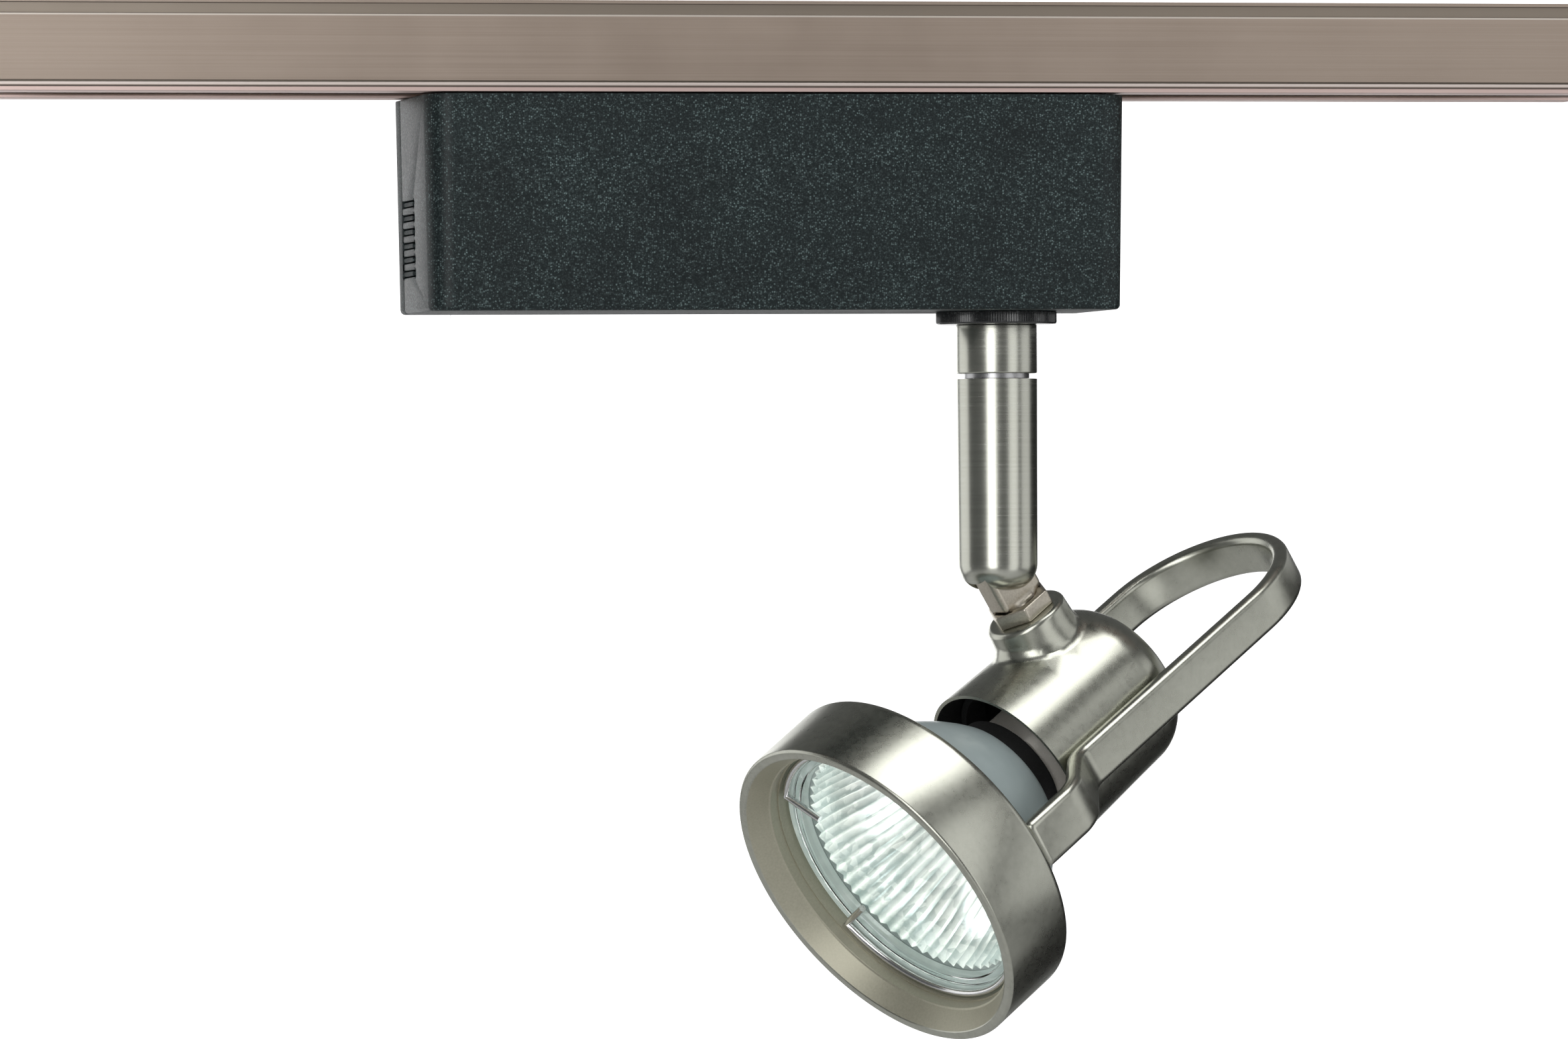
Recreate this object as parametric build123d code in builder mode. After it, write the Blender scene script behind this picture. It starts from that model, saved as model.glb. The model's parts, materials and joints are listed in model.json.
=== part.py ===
"""Low-voltage track spotlight on a short length of ceiling track.

A transformer box slides along the track on a twist-lock adapter.  Below it a stem swivels, and a lamp
head with a loop handle tilts on the stem's knuckle.  The lamp and its wire clip pull out of the front.

Millimetres, +Z up, X along the track, Y away from the box's front.  The origin is the middle of the
track's top face, where it screws to the ceiling.
"""
import os
from math import cos, radians, sin

from build123d import *

os.makedirs("parts", exist_ok=True)

# Track
TRACK_LENGTH = 276.0
TRACK_WIDTH = 36.0
TRACK_HEIGHT = 15.1
TRACK_WALL = 1.4
TRACK_SLOT = 18.0
BAND_CENTRE_Z, BAND_HEIGHT, BAND_DEPTH = -1.5, 1.7, 0.2
FACE_LINE_Z, FACE_LINE_HEIGHT, FACE_LINE_DEPTH = -13.5, 0.3, 0.25
BEAD_TOP_Z, BEAD_DEPTH = -14.4, 0.4
LIP_CHAMFER, LIP_CHAMFER_DROP = 1.6, 1.0
CEILING_HOLE_RADIUS = 2.25
CEILING_HOLE_SPACING = 200.0
INSULATOR_FACE = 13.4
CONDUCTOR_FACE = 14.2
CONDUCTOR_THICK = 1.0
CONDUCTOR_Z = -7.5

# Transformer box
SLIDE_GAP = 0.3
BOX_TOP = -TRACK_HEIGHT - SLIDE_GAP
BOX_HEIGHT = 36.0
BOX_BOTTOM = BOX_TOP - BOX_HEIGHT
BOX_LENGTH = 118.9
BOX_DEPTH = 35.0
BOX_X = -7.35
BOX_WALL = 2.0
BOX_DRAFT = 1.0
FRONT_CORNER = 4.6
REAR_CORNER = 2.0
REAR_CORNER_LEAST = 0.5
BOTTOM_ROUND = 0.8
STEM_HOLE_RADIUS = 5.1
PARTING_Y = 11.0
BOX_FRAME = Plane((BOX_X, 0, BOX_TOP))

# Vents in the end walls: open-ended slots that fingers on the back cover partly fill
VENT_COUNT = 6
VENT_PITCH = 2.33
VENT_TOP_Z = -33.1
VENT_HEIGHT = 1.2
VENT_LENGTH = 11.5
VENT_END_RADIUS = 0.84
VENT_CUT = 10.0
FINGER_HEIGHT = 0.8
FINGER_LENGTH = 9.0
FINGER_THICK = 1.4
FINGER_INSET = 1.25
FINGER_OVERLAP = 1.0
VENT_HEIGHTS = [VENT_TOP_Z - VENT_PITCH * i for i in range(VENT_COUNT)]

# Twist lock
LOCK_PIN_RADIUS = 2.9
LOCK_NECK_RADIUS = 6.5
LOCK_WING_RADIUS = 13.0
LOCK_WING_WIDTH = 12.0
LEVER_REACH = 19.5
LEVER_WIDTH = 6.0
POCKET_FLOOR = BOX_TOP - 2.2
POCKET_UNDERSIDE = BOX_TOP - 3.8
RUNNING = 0.05
PAD_LENGTH = 54.0
PAD_DEPTH = BOX_DEPTH - 3.0
POCKET_GAP = 0.4
POCKET_SWEEP = LEVER_REACH + 1.0
POCKET_NECK_RADIUS = LOCK_NECK_RADIUS + 0.5

# Stem
STEM_X = BOX_X + 40.55
STEM_RADIUS = 6.83
STEM_FOOT_RADIUS = 6.7
COLLAR_RADIUS = 10.25
COLLAR_THICK = 2.2
STUB_BOTTOM = -61.9
NIPPLE_END = -69.7
TUBE_TOP = -62.8
TUBE_BOTTOM = -98.5
TUBE_FLANGE = 2.5
TUBE_BORE = 5.45
NIPPLE_RADIUS = 4.0
WIRE_BORE = 2.8
FOOT_ROUND = 4.6
FOOT_WALL = 1.4
FOOT_BORE_ROUND = 3.85
NUT_SIZE_LARGE, NUT_SIZE_SMALL = 8.1, 5.2

# Knuckle
PIVOT_Z = -94.2
PIN_RADIUS = 1.5
TONGUE_THICK = 4.8
TONGUE_RADIUS = 4.7
KNUCKLE_NUT_NEAR = 7.15
KNUCKLE_NUT_FAR = 9.8
STUD_RADIUS = 3.5
STUD_LENGTH = 8.0
KNUCKLE_NUT_SIZE = 5.75
KNUCKLE_GAP = 0.3

# Head: "back" runs along the lamp's axis away from the light, "up" from the axis to the pivot
HEAD_TURN = 25.9
HEAD_DROP = 34.6
PIVOT_ABOVE_AXIS = 30.15
PIVOT_BEHIND_FRONT = 53.7
RING_RADIUS = 30.0
RING_MOUTH = 28.3
RING_BORE = 25.75
RING_LENGTH = 15.2
RING_CHAMFER, RING_ROUND = 0.5, 1.4
RING_LIP_RADIUS = 24.0
GROOVE_FRONT, GROOVE_BACK, GROOVE_RADIUS = 3.8, 5.6, RING_BORE + 0.25
FLARE_BACK, FLARE_RADIUS = 3.6, RING_BORE + 0.55
LAMP_SEAT = 10.7
CAP_FRONT = 35.0
CAP_BACK = 67.0
CAP_SHOULDER = 59.0
CAP_WALL = 1.5
CAP_LIP = 0.6
CAP_FLARE = 5.0
CAP_FRONT_RADIUS = 16.3
CAP_BACK_RADIUS = 15.4
BOSS_RADIUS = 7.1
STRAP_HALF_GAP = 18.0
STRAP_THICK = 3.0
STRAP_HALF_WIDTH = 3.7
ARM_HALF_WIDTH = 4.4
STRAP_END = 84.0
STRAP_DROP = 0.6
PAD_BACK = 48.0
YOKE_SCREW_SPREAD, YOKE_HOLE_START = 13.9, 14.0
YOKE_HOLE_RADIUS = 1.25
YOKE_SCREW_PLACE = (PAD_BACK - PIVOT_BEHIND_FRONT, -PIVOT_ABOVE_AXIS)

# Lamp
LAMP_RADIUS = 25.35
LAMP_FRONT = 7.4
LAMP_RIM_BACK = 10.4
PIN_SPACING = 5.33
LAMP_PIN_RADIUS = 0.75
LAMP_BASE_BACK = 45.4
CLIP_RING_RADIUS = 24.9
CLIP_WIRE_RADIUS = 0.6
CLIP_START_ANGLE = -50.9
CLIP_SWEEP = 294.6
CLIP_LEG = 7.5
CLIP_BACK = 6.5

turn, drop = radians(HEAD_TURN), radians(HEAD_DROP)
BACK = Vector(cos(drop) * cos(turn), cos(drop) * sin(turn), sin(drop))
TILT_AXIS = Vector(sin(turn), -cos(turn), 0)
UP = TILT_AXIS.cross(BACK)
PIVOT = Vector(STEM_X, 0, PIVOT_Z)
HEAD_ORIGIN = PIVOT - UP * PIVOT_ABOVE_AXIS - BACK * PIVOT_BEHIND_FRONT

HEAD_FRONT = Plane(origin=HEAD_ORIGIN, x_dir=UP, z_dir=BACK)
HEAD_PROFILE = Plane(origin=HEAD_ORIGIN, x_dir=UP, z_dir=-TILT_AXIS)
HEAD_AXIS = Axis(HEAD_ORIGIN, BACK)
STRAP_UP = UP * cos(radians(STRAP_DROP)) + BACK * sin(radians(STRAP_DROP))
STRAP_PLAN = Plane(origin=HEAD_ORIGIN, x_dir=TILT_AXIS, z_dir=STRAP_UP)
STRAP_PROFILE = Plane(origin=HEAD_ORIGIN, x_dir=STRAP_UP, z_dir=-TILT_AXIS)
PIVOT_SIDE = Plane(origin=PIVOT, x_dir=BACK, z_dir=TILT_AXIS)
PIVOT_DOWN = Plane(origin=PIVOT, x_dir=BACK, z_dir=-UP)
STEM_PROFILE = Plane(origin=(STEM_X, 0, 0), x_dir=(1, 0, 0), z_dir=(0, -1, 0))
STEM_AXIS = Axis((STEM_X, 0, 0), (0, 0, 1))
STEM_TURNED = Plane(origin=PIVOT, x_dir=(cos(turn), sin(turn), 0), z_dir=(0, 0, 1))


def stem_plane(z):
    """A horizontal plane on the stem's axis."""
    return Plane((STEM_X, 0, z))


def save(piece, name):
    """Label a finished piece and write it to its own STEP file."""
    piece.part.label = name
    export_step(piece.part, f"parts/{name}.step")


# ---------------------------------------------------------------- track
with BuildPart() as track_channel:
    with BuildSketch(Plane.YZ):
        with Locations((0, -TRACK_HEIGHT / 2)):
            Rectangle(TRACK_WIDTH, TRACK_HEIGHT)
            Rectangle(TRACK_WIDTH - 2 * TRACK_WALL, TRACK_HEIGHT - 2 * TRACK_WALL, mode=Mode.SUBTRACT)
        with Locations((0, -TRACK_HEIGHT)):
            Rectangle(TRACK_SLOT, 4 * TRACK_WALL, mode=Mode.SUBTRACT)
        for side in (-1, 1):
            with Locations((side * TRACK_WIDTH / 2, BAND_CENTRE_Z)):
                Rectangle(2 * BAND_DEPTH, BAND_HEIGHT, mode=Mode.SUBTRACT)
            with Locations((side * TRACK_WIDTH / 2, FACE_LINE_Z)):
                Rectangle(2 * FACE_LINE_DEPTH, FACE_LINE_HEIGHT, mode=Mode.SUBTRACT)
            with Locations((side * TRACK_WIDTH / 2, -TRACK_HEIGHT)):
                Rectangle(2 * BEAD_DEPTH, 2 * (TRACK_HEIGHT + BEAD_TOP_Z), mode=Mode.SUBTRACT)
            with BuildLine():
                lip_edge, lip_top = side * TRACK_SLOT / 2, -TRACK_HEIGHT + TRACK_WALL
                Polyline((lip_edge, lip_top), (lip_edge + side * LIP_CHAMFER, lip_top),
                         (lip_edge, lip_top - LIP_CHAMFER_DROP), close=True)
            make_face(mode=Mode.SUBTRACT)
    extrude(amount=TRACK_LENGTH / 2, both=True)
    with BuildSketch(Plane.XY):
        with GridLocations(CEILING_HOLE_SPACING, 0, 2, 1):
            Circle(CEILING_HOLE_RADIUS)
    extrude(amount=-2 * TRACK_WALL, mode=Mode.SUBTRACT)
save(track_channel, "track_channel")

INSULATOR_BACK = TRACK_WIDTH / 2 - TRACK_WALL
INSULATOR_MID_Z = -TRACK_HEIGHT / 2
INSULATOR_HEIGHT = TRACK_HEIGHT - 2 * TRACK_WALL
CONDUCTOR_HEIGHT = 4.0
for side, place, pole in ((-1, "front", "line"), (1, "rear", "neutral")):
    with BuildPart() as insulator:
        with BuildSketch(Plane.YZ):
            with Locations((side * (INSULATOR_FACE + INSULATOR_BACK) / 2, INSULATOR_MID_Z)):
                Rectangle(INSULATOR_BACK - INSULATOR_FACE, INSULATOR_HEIGHT)
            with Locations((side * INSULATOR_FACE, CONDUCTOR_Z)):
                Rectangle(2 * (CONDUCTOR_FACE + CONDUCTOR_THICK - INSULATOR_FACE), CONDUCTOR_HEIGHT,
                          mode=Mode.SUBTRACT)
        extrude(amount=TRACK_LENGTH / 2 - 1, both=True)
    save(insulator, f"track_insulator_{place}")

    with BuildPart() as conductor:
        with BuildSketch(Plane.YZ):
            with Locations((side * (CONDUCTOR_FACE + CONDUCTOR_THICK / 2), CONDUCTOR_Z)):
                Rectangle(CONDUCTOR_THICK, CONDUCTOR_HEIGHT)
        extrude(amount=TRACK_LENGTH / 2 - 2, both=True)
    save(conductor, f"conductor_{pole}")

# ---------------------------------------------------------------- transformer box
BOSS_SPREAD_X = BOX_LENGTH - 13.0
BOSS_UPPER_Z, BOSS_LOWER_Z = -22.5, -44.5
BOSS_OUTER, PILOT_RADIUS, PILOT_DEPTH = 3.2, 1.3, 16.0
POST_OUTER, POST_HOLE, POST_INSET = 3.4, 1.4, 0.5
SCREW_SEAT_Y, SCREW_RECESS = BOX_DEPTH / 2 - 2.6, 2.7
SCREW_HEAD, SCREW_HEAD_HEIGHT, SCREW_SHANK, SCREW_LENGTH = 2.5, 1.4, 1.25, 14.0
CROSS_LENGTH, CROSS_WIDTH, CROSS_DEPTH = 3.2, 0.7, 0.8
COVER_SCREWS = [(BOX_X + side * BOSS_SPREAD_X / 2, z) for side in (-1, 1)
                for z in (BOSS_UPPER_Z, BOSS_LOWER_Z)]
ADAPTER_SCREWS = [(BOX_X - 19, -6), (BOX_X + 19, -6)]
ADAPTER_HOLE, ADAPTER_BORE, ADAPTER_HEAD, ADAPTER_SHANK = 1.5, 1.45, 2.6, 1.4
ADAPTER_HEAD_HEIGHT, ADAPTER_BORE_DEPTH, ADAPTER_SHANK_LENGTH = 1.5, 8.0, 11.0
HOLE_DEPTH = 5.0
BOARD_TOP = -44.2
BOARD_THICK = 1.6
BOARD_X, BOARD_LENGTH, BOARD_DEPTH = BOX_X - 9.1, 74.0, 25.0
STANDOFF_RADIUS, STANDOFF_HOLE, BOARD_HOLE = 2.5, 1.0, 1.2
BOARD_HEAD, BOARD_HEAD_HEIGHT, BOARD_SHANK, BOARD_SHANK_LENGTH = 1.9, 1.2, 0.95, 4.5
BOARD_SCREWS = [(BOARD_X + sx * (BOARD_LENGTH / 2 - 4), sy * 8.0) for sx in (-1, 1) for sy in (-1, 1)]


def box_block(inset, top, height):
    """One drafted block of the box's outline, narrowing downwards, added to or cut from the part."""
    with BuildSketch(BOX_FRAME.offset(top)) as outline:
        Rectangle(BOX_LENGTH - 2 * inset, BOX_DEPTH - 2 * inset)
        fillet(outline.vertices().group_by(Axis.Y)[0], FRONT_CORNER - inset)
        fillet(outline.vertices().group_by(Axis.Y)[-1], max(REAR_CORNER - inset, REAR_CORNER_LEAST))
    extrude(outline.sketch, amount=height, dir=(0, 0, -1), taper=BOX_DRAFT,
            mode=Mode.SUBTRACT if inset else Mode.ADD)


def box_walls():
    """The whole hollow box, with the thick pad and the pocket for the lock's lever."""
    box_block(0, 0, BOX_HEIGHT)
    fillet(edges().group_by(Axis.Z)[0], BOTTOM_ROUND)
    box_block(BOX_WALL, -BOX_WALL, BOX_HEIGHT - 2 * BOX_WALL)
    with Locations((BOX_X, 0, (BOX_TOP - BOX_WALL / 2 + POCKET_UNDERSIDE) / 2)):
        Box(PAD_LENGTH, PAD_DEPTH, BOX_TOP - BOX_WALL / 2 - POCKET_UNDERSIDE)
    with BuildSketch(BOX_FRAME) as pocket:
        Circle(POCKET_NECK_RADIUS)
        with BuildLine():
            Line((0, 0), (POCKET_SWEEP, 0))
            CenterArc((0, 0), POCKET_SWEEP, 0, 90)
            Line((0, POCKET_SWEEP), (0, 0))
        make_face()
        with Locations((0, POCKET_SWEEP / 2)):
            Rectangle(LEVER_WIDTH + 2 * POCKET_GAP, POCKET_SWEEP)
        with Locations((POCKET_SWEEP / 2, 0)):
            Rectangle(POCKET_SWEEP, LEVER_WIDTH + 2 * POCKET_GAP)
    extrude(pocket.sketch, amount=POCKET_FLOOR - BOX_TOP, mode=Mode.SUBTRACT)
    with BuildSketch(BOX_FRAME) as pin_hole:
        Circle(LOCK_PIN_RADIUS + RUNNING)
    extrude(pin_hole.sketch, amount=POCKET_UNDERSIDE - BOX_TOP - 1, mode=Mode.SUBTRACT)


with BuildPart() as front_shell:
    box_walls()
    with BuildSketch(Plane.XZ.offset(BOX_DEPTH / 2 - BOX_WALL)):
        with Locations(COVER_SCREWS):
            Circle(BOSS_OUTER)
    extrude(amount=-(BOX_DEPTH / 2 - BOX_WALL + PARTING_Y))
    with BuildSketch(Plane.XY.offset(BOX_BOTTOM + BOX_WALL / 2)):
        with Locations(BOARD_SCREWS):
            Circle(STANDOFF_RADIUS)
    extrude(amount=BOARD_TOP - BOARD_THICK - BOX_BOTTOM - BOX_WALL / 2)
    split(bisect_by=Plane.XZ.offset(-PARTING_Y), keep=Keep.TOP)
    with BuildSketch(Plane.XZ.offset(-PARTING_Y)):
        with Locations(COVER_SCREWS):
            Circle(PILOT_RADIUS)
    extrude(amount=PILOT_DEPTH, mode=Mode.SUBTRACT)
    with BuildSketch(Plane.XY.offset(BOARD_TOP)):
        with Locations(BOARD_SCREWS):
            Circle(STANDOFF_HOLE)
    extrude(amount=-HOLE_DEPTH, mode=Mode.SUBTRACT)
    with BuildSketch(Plane.XY.offset(BOX_TOP)):
        with Locations(ADAPTER_SCREWS):
            Circle(ADAPTER_HOLE)
    extrude(amount=-HOLE_DEPTH, mode=Mode.SUBTRACT)
    with BuildSketch(stem_plane(BOX_BOTTOM)):
        Circle(STEM_HOLE_RADIUS)
    extrude(amount=2 * BOX_WALL, mode=Mode.SUBTRACT)
    for side in (-1, 1):
        end_x = BOX_X + side * BOX_LENGTH / 2
        with Locations([(end_x, PARTING_Y - VENT_LENGTH / 2, z) for z in VENT_HEIGHTS]):
            Box(VENT_CUT, VENT_LENGTH, VENT_HEIGHT, mode=Mode.SUBTRACT)
        with Locations([(end_x, PARTING_Y - VENT_LENGTH, z) for z in VENT_HEIGHTS]):
            Cylinder(VENT_END_RADIUS, VENT_CUT, rotation=(0, 90, 0), mode=Mode.SUBTRACT)
save(front_shell, "housing_front_shell")

with BuildPart() as back_cover:
    box_walls()
    split(bisect_by=Plane.XZ.offset(-PARTING_Y), keep=Keep.BOTTOM)
    for side in (-1, 1):
        finger_x = BOX_X + side * (BOX_LENGTH / 2 - FINGER_INSET)
        with Locations([(finger_x, PARTING_Y - FINGER_LENGTH / 2 + FINGER_OVERLAP, z) for z in VENT_HEIGHTS]):
            Box(FINGER_THICK, FINGER_LENGTH + 2 * FINGER_OVERLAP, FINGER_HEIGHT)
    with BuildSketch(Plane.XZ.offset(-PARTING_Y)):
        with Locations(COVER_SCREWS):
            Circle(POST_OUTER)
    extrude(amount=-(BOX_DEPTH / 2 - PARTING_Y - POST_INSET))
    with BuildSketch(Plane.XZ.offset(-PARTING_Y)):
        with Locations(COVER_SCREWS):
            Circle(POST_HOLE)
    extrude(amount=-2 * HOLE_DEPTH, mode=Mode.SUBTRACT)
    with BuildSketch(Plane.XZ.offset(-SCREW_SEAT_Y)):
        with Locations(COVER_SCREWS):
            Circle(SCREW_RECESS)
    extrude(amount=-HOLE_DEPTH, mode=Mode.SUBTRACT)
save(back_cover, "housing_back_cover")

with BuildPart() as cover_screws:
    with BuildSketch(Plane.XZ.offset(-SCREW_SEAT_Y)):
        with Locations(COVER_SCREWS):
            Circle(SCREW_HEAD)
    extrude(amount=-SCREW_HEAD_HEIGHT)
    with BuildSketch(Plane.XZ.offset(-SCREW_SEAT_Y)):
        with Locations(COVER_SCREWS):
            Circle(SCREW_SHANK)
    extrude(amount=SCREW_LENGTH)
    with BuildSketch(Plane.XZ.offset(-SCREW_SEAT_Y - SCREW_HEAD_HEIGHT)):
        with Locations(COVER_SCREWS):
            Rectangle(CROSS_LENGTH, CROSS_WIDTH)
            Rectangle(CROSS_WIDTH, CROSS_LENGTH)
    extrude(amount=CROSS_DEPTH, mode=Mode.SUBTRACT)
save(cover_screws, "cover_screws")

# ---------------------------------------------------------------- adapter and twist lock
GUIDE_NEAR, GUIDE_FAR, GUIDE_TOP = 14.2, 24.0, -4.5
GUIDE_HALF_WIDTH = 8.6
PLATE_TOP = -TRACK_HEIGHT + TRACK_WALL

with BuildPart() as adapter_body:
    with BuildSketch(BOX_FRAME):
        Rectangle(2 * GUIDE_FAR, 2 * GUIDE_HALF_WIDTH)
        Circle(LOCK_NECK_RADIUS + RUNNING, mode=Mode.SUBTRACT)
    extrude(amount=PLATE_TOP - BOX_TOP)
    with BuildSketch(BOX_FRAME):
        for side in (-1, 1):
            with Locations((side * (GUIDE_NEAR + GUIDE_FAR) / 2, 0)):
                Rectangle(GUIDE_FAR - GUIDE_NEAR, 2 * GUIDE_HALF_WIDTH)
    extrude(amount=GUIDE_TOP - BOX_TOP)
    with BuildSketch(Plane.XY.offset(BOX_TOP)):
        with Locations(ADAPTER_SCREWS):
            Circle(ADAPTER_BORE)
    extrude(amount=ADAPTER_BORE_DEPTH, mode=Mode.SUBTRACT)
save(adapter_body, "adapter_body")

with BuildPart() as adapter_screws:
    with BuildSketch(Plane.XY.offset(POCKET_UNDERSIDE)):
        with Locations(ADAPTER_SCREWS):
            Circle(ADAPTER_HEAD)
    extrude(amount=-ADAPTER_HEAD_HEIGHT)
    with BuildSketch(Plane.XY.offset(POCKET_UNDERSIDE)):
        with Locations(ADAPTER_SCREWS):
            Circle(ADAPTER_SHANK)
    extrude(amount=ADAPTER_SHANK_LENGTH)
save(adapter_screws, "adapter_screws")

LEAF_FOOT_Z, LEAF_CREST_Z, LEAF_TIP_Z = GUIDE_TOP + 0.2, -1.95, GUIDE_TOP + 0.6
LEAF_THICK, LEAF_HALF_WIDTH = 0.4, 2.5
LEAF_POINTS = [(-23.5, LEAF_FOOT_Z), (-21.5, LEAF_FOOT_Z), (-20, LEAF_CREST_Z), (-18.5, LEAF_CREST_Z),
               (-16.5, LEAF_TIP_Z)]
with BuildPart() as ground_contact:
    with BuildSketch(Plane.XZ):
        with BuildLine() as leaf:
            Polyline(*[(BOX_X + x, z) for x, z in LEAF_POINTS])
        trace(leaf.line, line_width=LEAF_THICK)
    extrude(amount=LEAF_HALF_WIDTH, both=True)
save(ground_contact, "ground_contact")

WING_BOTTOM = PLATE_TOP + SLIDE_GAP
WING_TOP = WING_BOTTOM + 2.5
LEVER_TOP = BOX_TOP - SLIDE_GAP
LEVER_BOTTOM = LEVER_TOP - 1.6
BLADE_WIDTH, BLADE_THICK, BLADE_REACH, BLADE_SPLIT = 4.0, 1.0, 13.9, 4.0
LOCK_PIN_BOTTOM, LOCK_PIN_OVERLAP = POCKET_UNDERSIDE - 0.6, 0.1
LEVER_ROUND = 1.5
LOCK_TOWER_RADIUS, LOCK_TOWER_TOP = 5.0, -3.0

with BuildPart() as contact_blades:
    with BuildSketch(Plane((BOX_X, 0, CONDUCTOR_Z - BLADE_THICK / 2))):
        Circle(BLADE_REACH)
        Rectangle(BLADE_WIDTH, 2 * BLADE_REACH, mode=Mode.INTERSECT)
        Rectangle(BLADE_WIDTH, BLADE_SPLIT, mode=Mode.SUBTRACT)
    extrude(amount=BLADE_THICK)
save(contact_blades, "contact_blades")

with BuildPart() as lock_rotor:
    with BuildSketch(Plane((BOX_X, 0, LOCK_PIN_BOTTOM))):
        Circle(LOCK_PIN_RADIUS)
    extrude(amount=LEVER_BOTTOM - LOCK_PIN_BOTTOM + LOCK_PIN_OVERLAP)
    with BuildSketch(Plane((BOX_X, 0, LEVER_BOTTOM))):
        Circle(LOCK_NECK_RADIUS)
        with Locations((0, LEVER_REACH / 2)):
            RectangleRounded(LEVER_WIDTH, LEVER_REACH, LEVER_ROUND)
    extrude(amount=LEVER_TOP - LEVER_BOTTOM)
    with BuildSketch(Plane((BOX_X, 0, LEVER_TOP))):
        Circle(LOCK_NECK_RADIUS)
    extrude(amount=WING_BOTTOM - LEVER_TOP)
    with BuildSketch(Plane((BOX_X, 0, WING_BOTTOM))):
        Circle(LOCK_WING_RADIUS)
        Rectangle(LOCK_WING_WIDTH, 2 * LOCK_WING_RADIUS, mode=Mode.INTERSECT)
    extrude(amount=WING_TOP - WING_BOTTOM)
    with BuildSketch(Plane((BOX_X, 0, WING_TOP))):
        Circle(LOCK_TOWER_RADIUS)
    extrude(amount=LOCK_TOWER_TOP - WING_TOP)
    add(contact_blades.part, mode=Mode.SUBTRACT)
save(lock_rotor, "track_lock_rotor")

# ---------------------------------------------------------------- electronics inside the box
with BuildPart() as circuit_board:
    with BuildSketch(Plane((BOARD_X, 0, BOARD_TOP - BOARD_THICK))):
        Rectangle(BOARD_LENGTH, BOARD_DEPTH)
    extrude(amount=BOARD_THICK)
    with BuildSketch(Plane.XY.offset(BOARD_TOP)):
        with Locations(BOARD_SCREWS):
            Circle(BOARD_HOLE)
    extrude(amount=-BOARD_THICK, mode=Mode.SUBTRACT)
save(circuit_board, "circuit_board")

with BuildPart() as board_screws:
    with BuildSketch(Plane.XY.offset(BOARD_TOP)):
        with Locations(BOARD_SCREWS):
            Circle(BOARD_HEAD)
    extrude(amount=BOARD_HEAD_HEIGHT)
    with BuildSketch(Plane.XY.offset(BOARD_TOP)):
        with Locations(BOARD_SCREWS):
            Circle(BOARD_SHANK)
    extrude(amount=-BOARD_SHANK_LENGTH)
save(board_screws, "board_screws")

TOROID_X, TOROID_RADIUS, TOROID_HOLE, TOROID_HEIGHT = BOARD_X + 21.5, 9.5, 4.0, 10.0
WIRE_THICK, WIRE_TURNS, WIRE_NOTCH, WIRE_NOTCH_WIDTH = 1.0, 12, 8.0, 0.6
CORE_HEIGHT = TOROID_HEIGHT - 2 * WIRE_THICK
with BuildPart() as transformer_core:
    with BuildSketch(Plane((TOROID_X, 0, BOARD_TOP + WIRE_THICK))):
        Circle(TOROID_RADIUS - WIRE_THICK)
        Circle(TOROID_HOLE + WIRE_THICK, mode=Mode.SUBTRACT)
    extrude(amount=CORE_HEIGHT)
save(transformer_core, "transformer_core")

with BuildPart() as transformer_winding:
    with BuildSketch(Plane((TOROID_X, 0, BOARD_TOP))):
        Circle(TOROID_RADIUS)
        Circle(TOROID_HOLE, mode=Mode.SUBTRACT)
        with PolarLocations(TOROID_RADIUS - 2.5 * WIRE_THICK, WIRE_TURNS):
            Rectangle(WIRE_NOTCH, WIRE_NOTCH_WIDTH, mode=Mode.SUBTRACT)
    extrude(amount=TOROID_HEIGHT)
    with BuildSketch(Plane((TOROID_X, 0, BOARD_TOP + WIRE_THICK))):
        Circle(TOROID_RADIUS - WIRE_THICK)
        Circle(TOROID_HOLE + WIRE_THICK, mode=Mode.SUBTRACT)
    extrude(amount=CORE_HEIGHT, mode=Mode.SUBTRACT)
save(transformer_winding, "transformer_winding")

FILM_X, FILM_SPREAD_Y, FILM_HEIGHT = BOARD_X + 1.5, 6.5, 11.0
FILM_LENGTH, FILM_DEPTH, FILM_ROUND = 13.0, 7.0, 1.0
CAN_X, CAN_RADIUS, CAN_HEIGHT = BOARD_X - 10.5, 4.0, 14.0
with BuildPart() as capacitors:
    with BuildSketch(Plane((FILM_X, 0, BOARD_TOP))):
        with Locations((0, -FILM_SPREAD_Y), (0, FILM_SPREAD_Y)):
            RectangleRounded(FILM_LENGTH, FILM_DEPTH, FILM_ROUND)
    extrude(amount=FILM_HEIGHT)
    with BuildSketch(Plane((CAN_X, 0, BOARD_TOP))):
        Circle(CAN_RADIUS)
    extrude(amount=CAN_HEIGHT)
save(capacitors, "capacitors")

SINK_X, SINK_THICK, SINK_DEPTH, SINK_HEIGHT = BOARD_X - 24.5, 2.0, 20.0, 20.0
FIN_X, FIN_PITCH, FIN_COUNT, FIN_LENGTH, FIN_THICK = 4.0, 4.5, 5, 6.5, 1.2
with BuildPart() as heat_sink:
    with BuildSketch(Plane((SINK_X, 0, BOARD_TOP))):
        Rectangle(SINK_THICK, SINK_DEPTH)
        with Locations((FIN_X, 0)):
            with GridLocations(0, FIN_PITCH, 1, FIN_COUNT):
                Rectangle(FIN_LENGTH, FIN_THICK)
    extrude(amount=SINK_HEIGHT)
save(heat_sink, "heat_sink")

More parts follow.
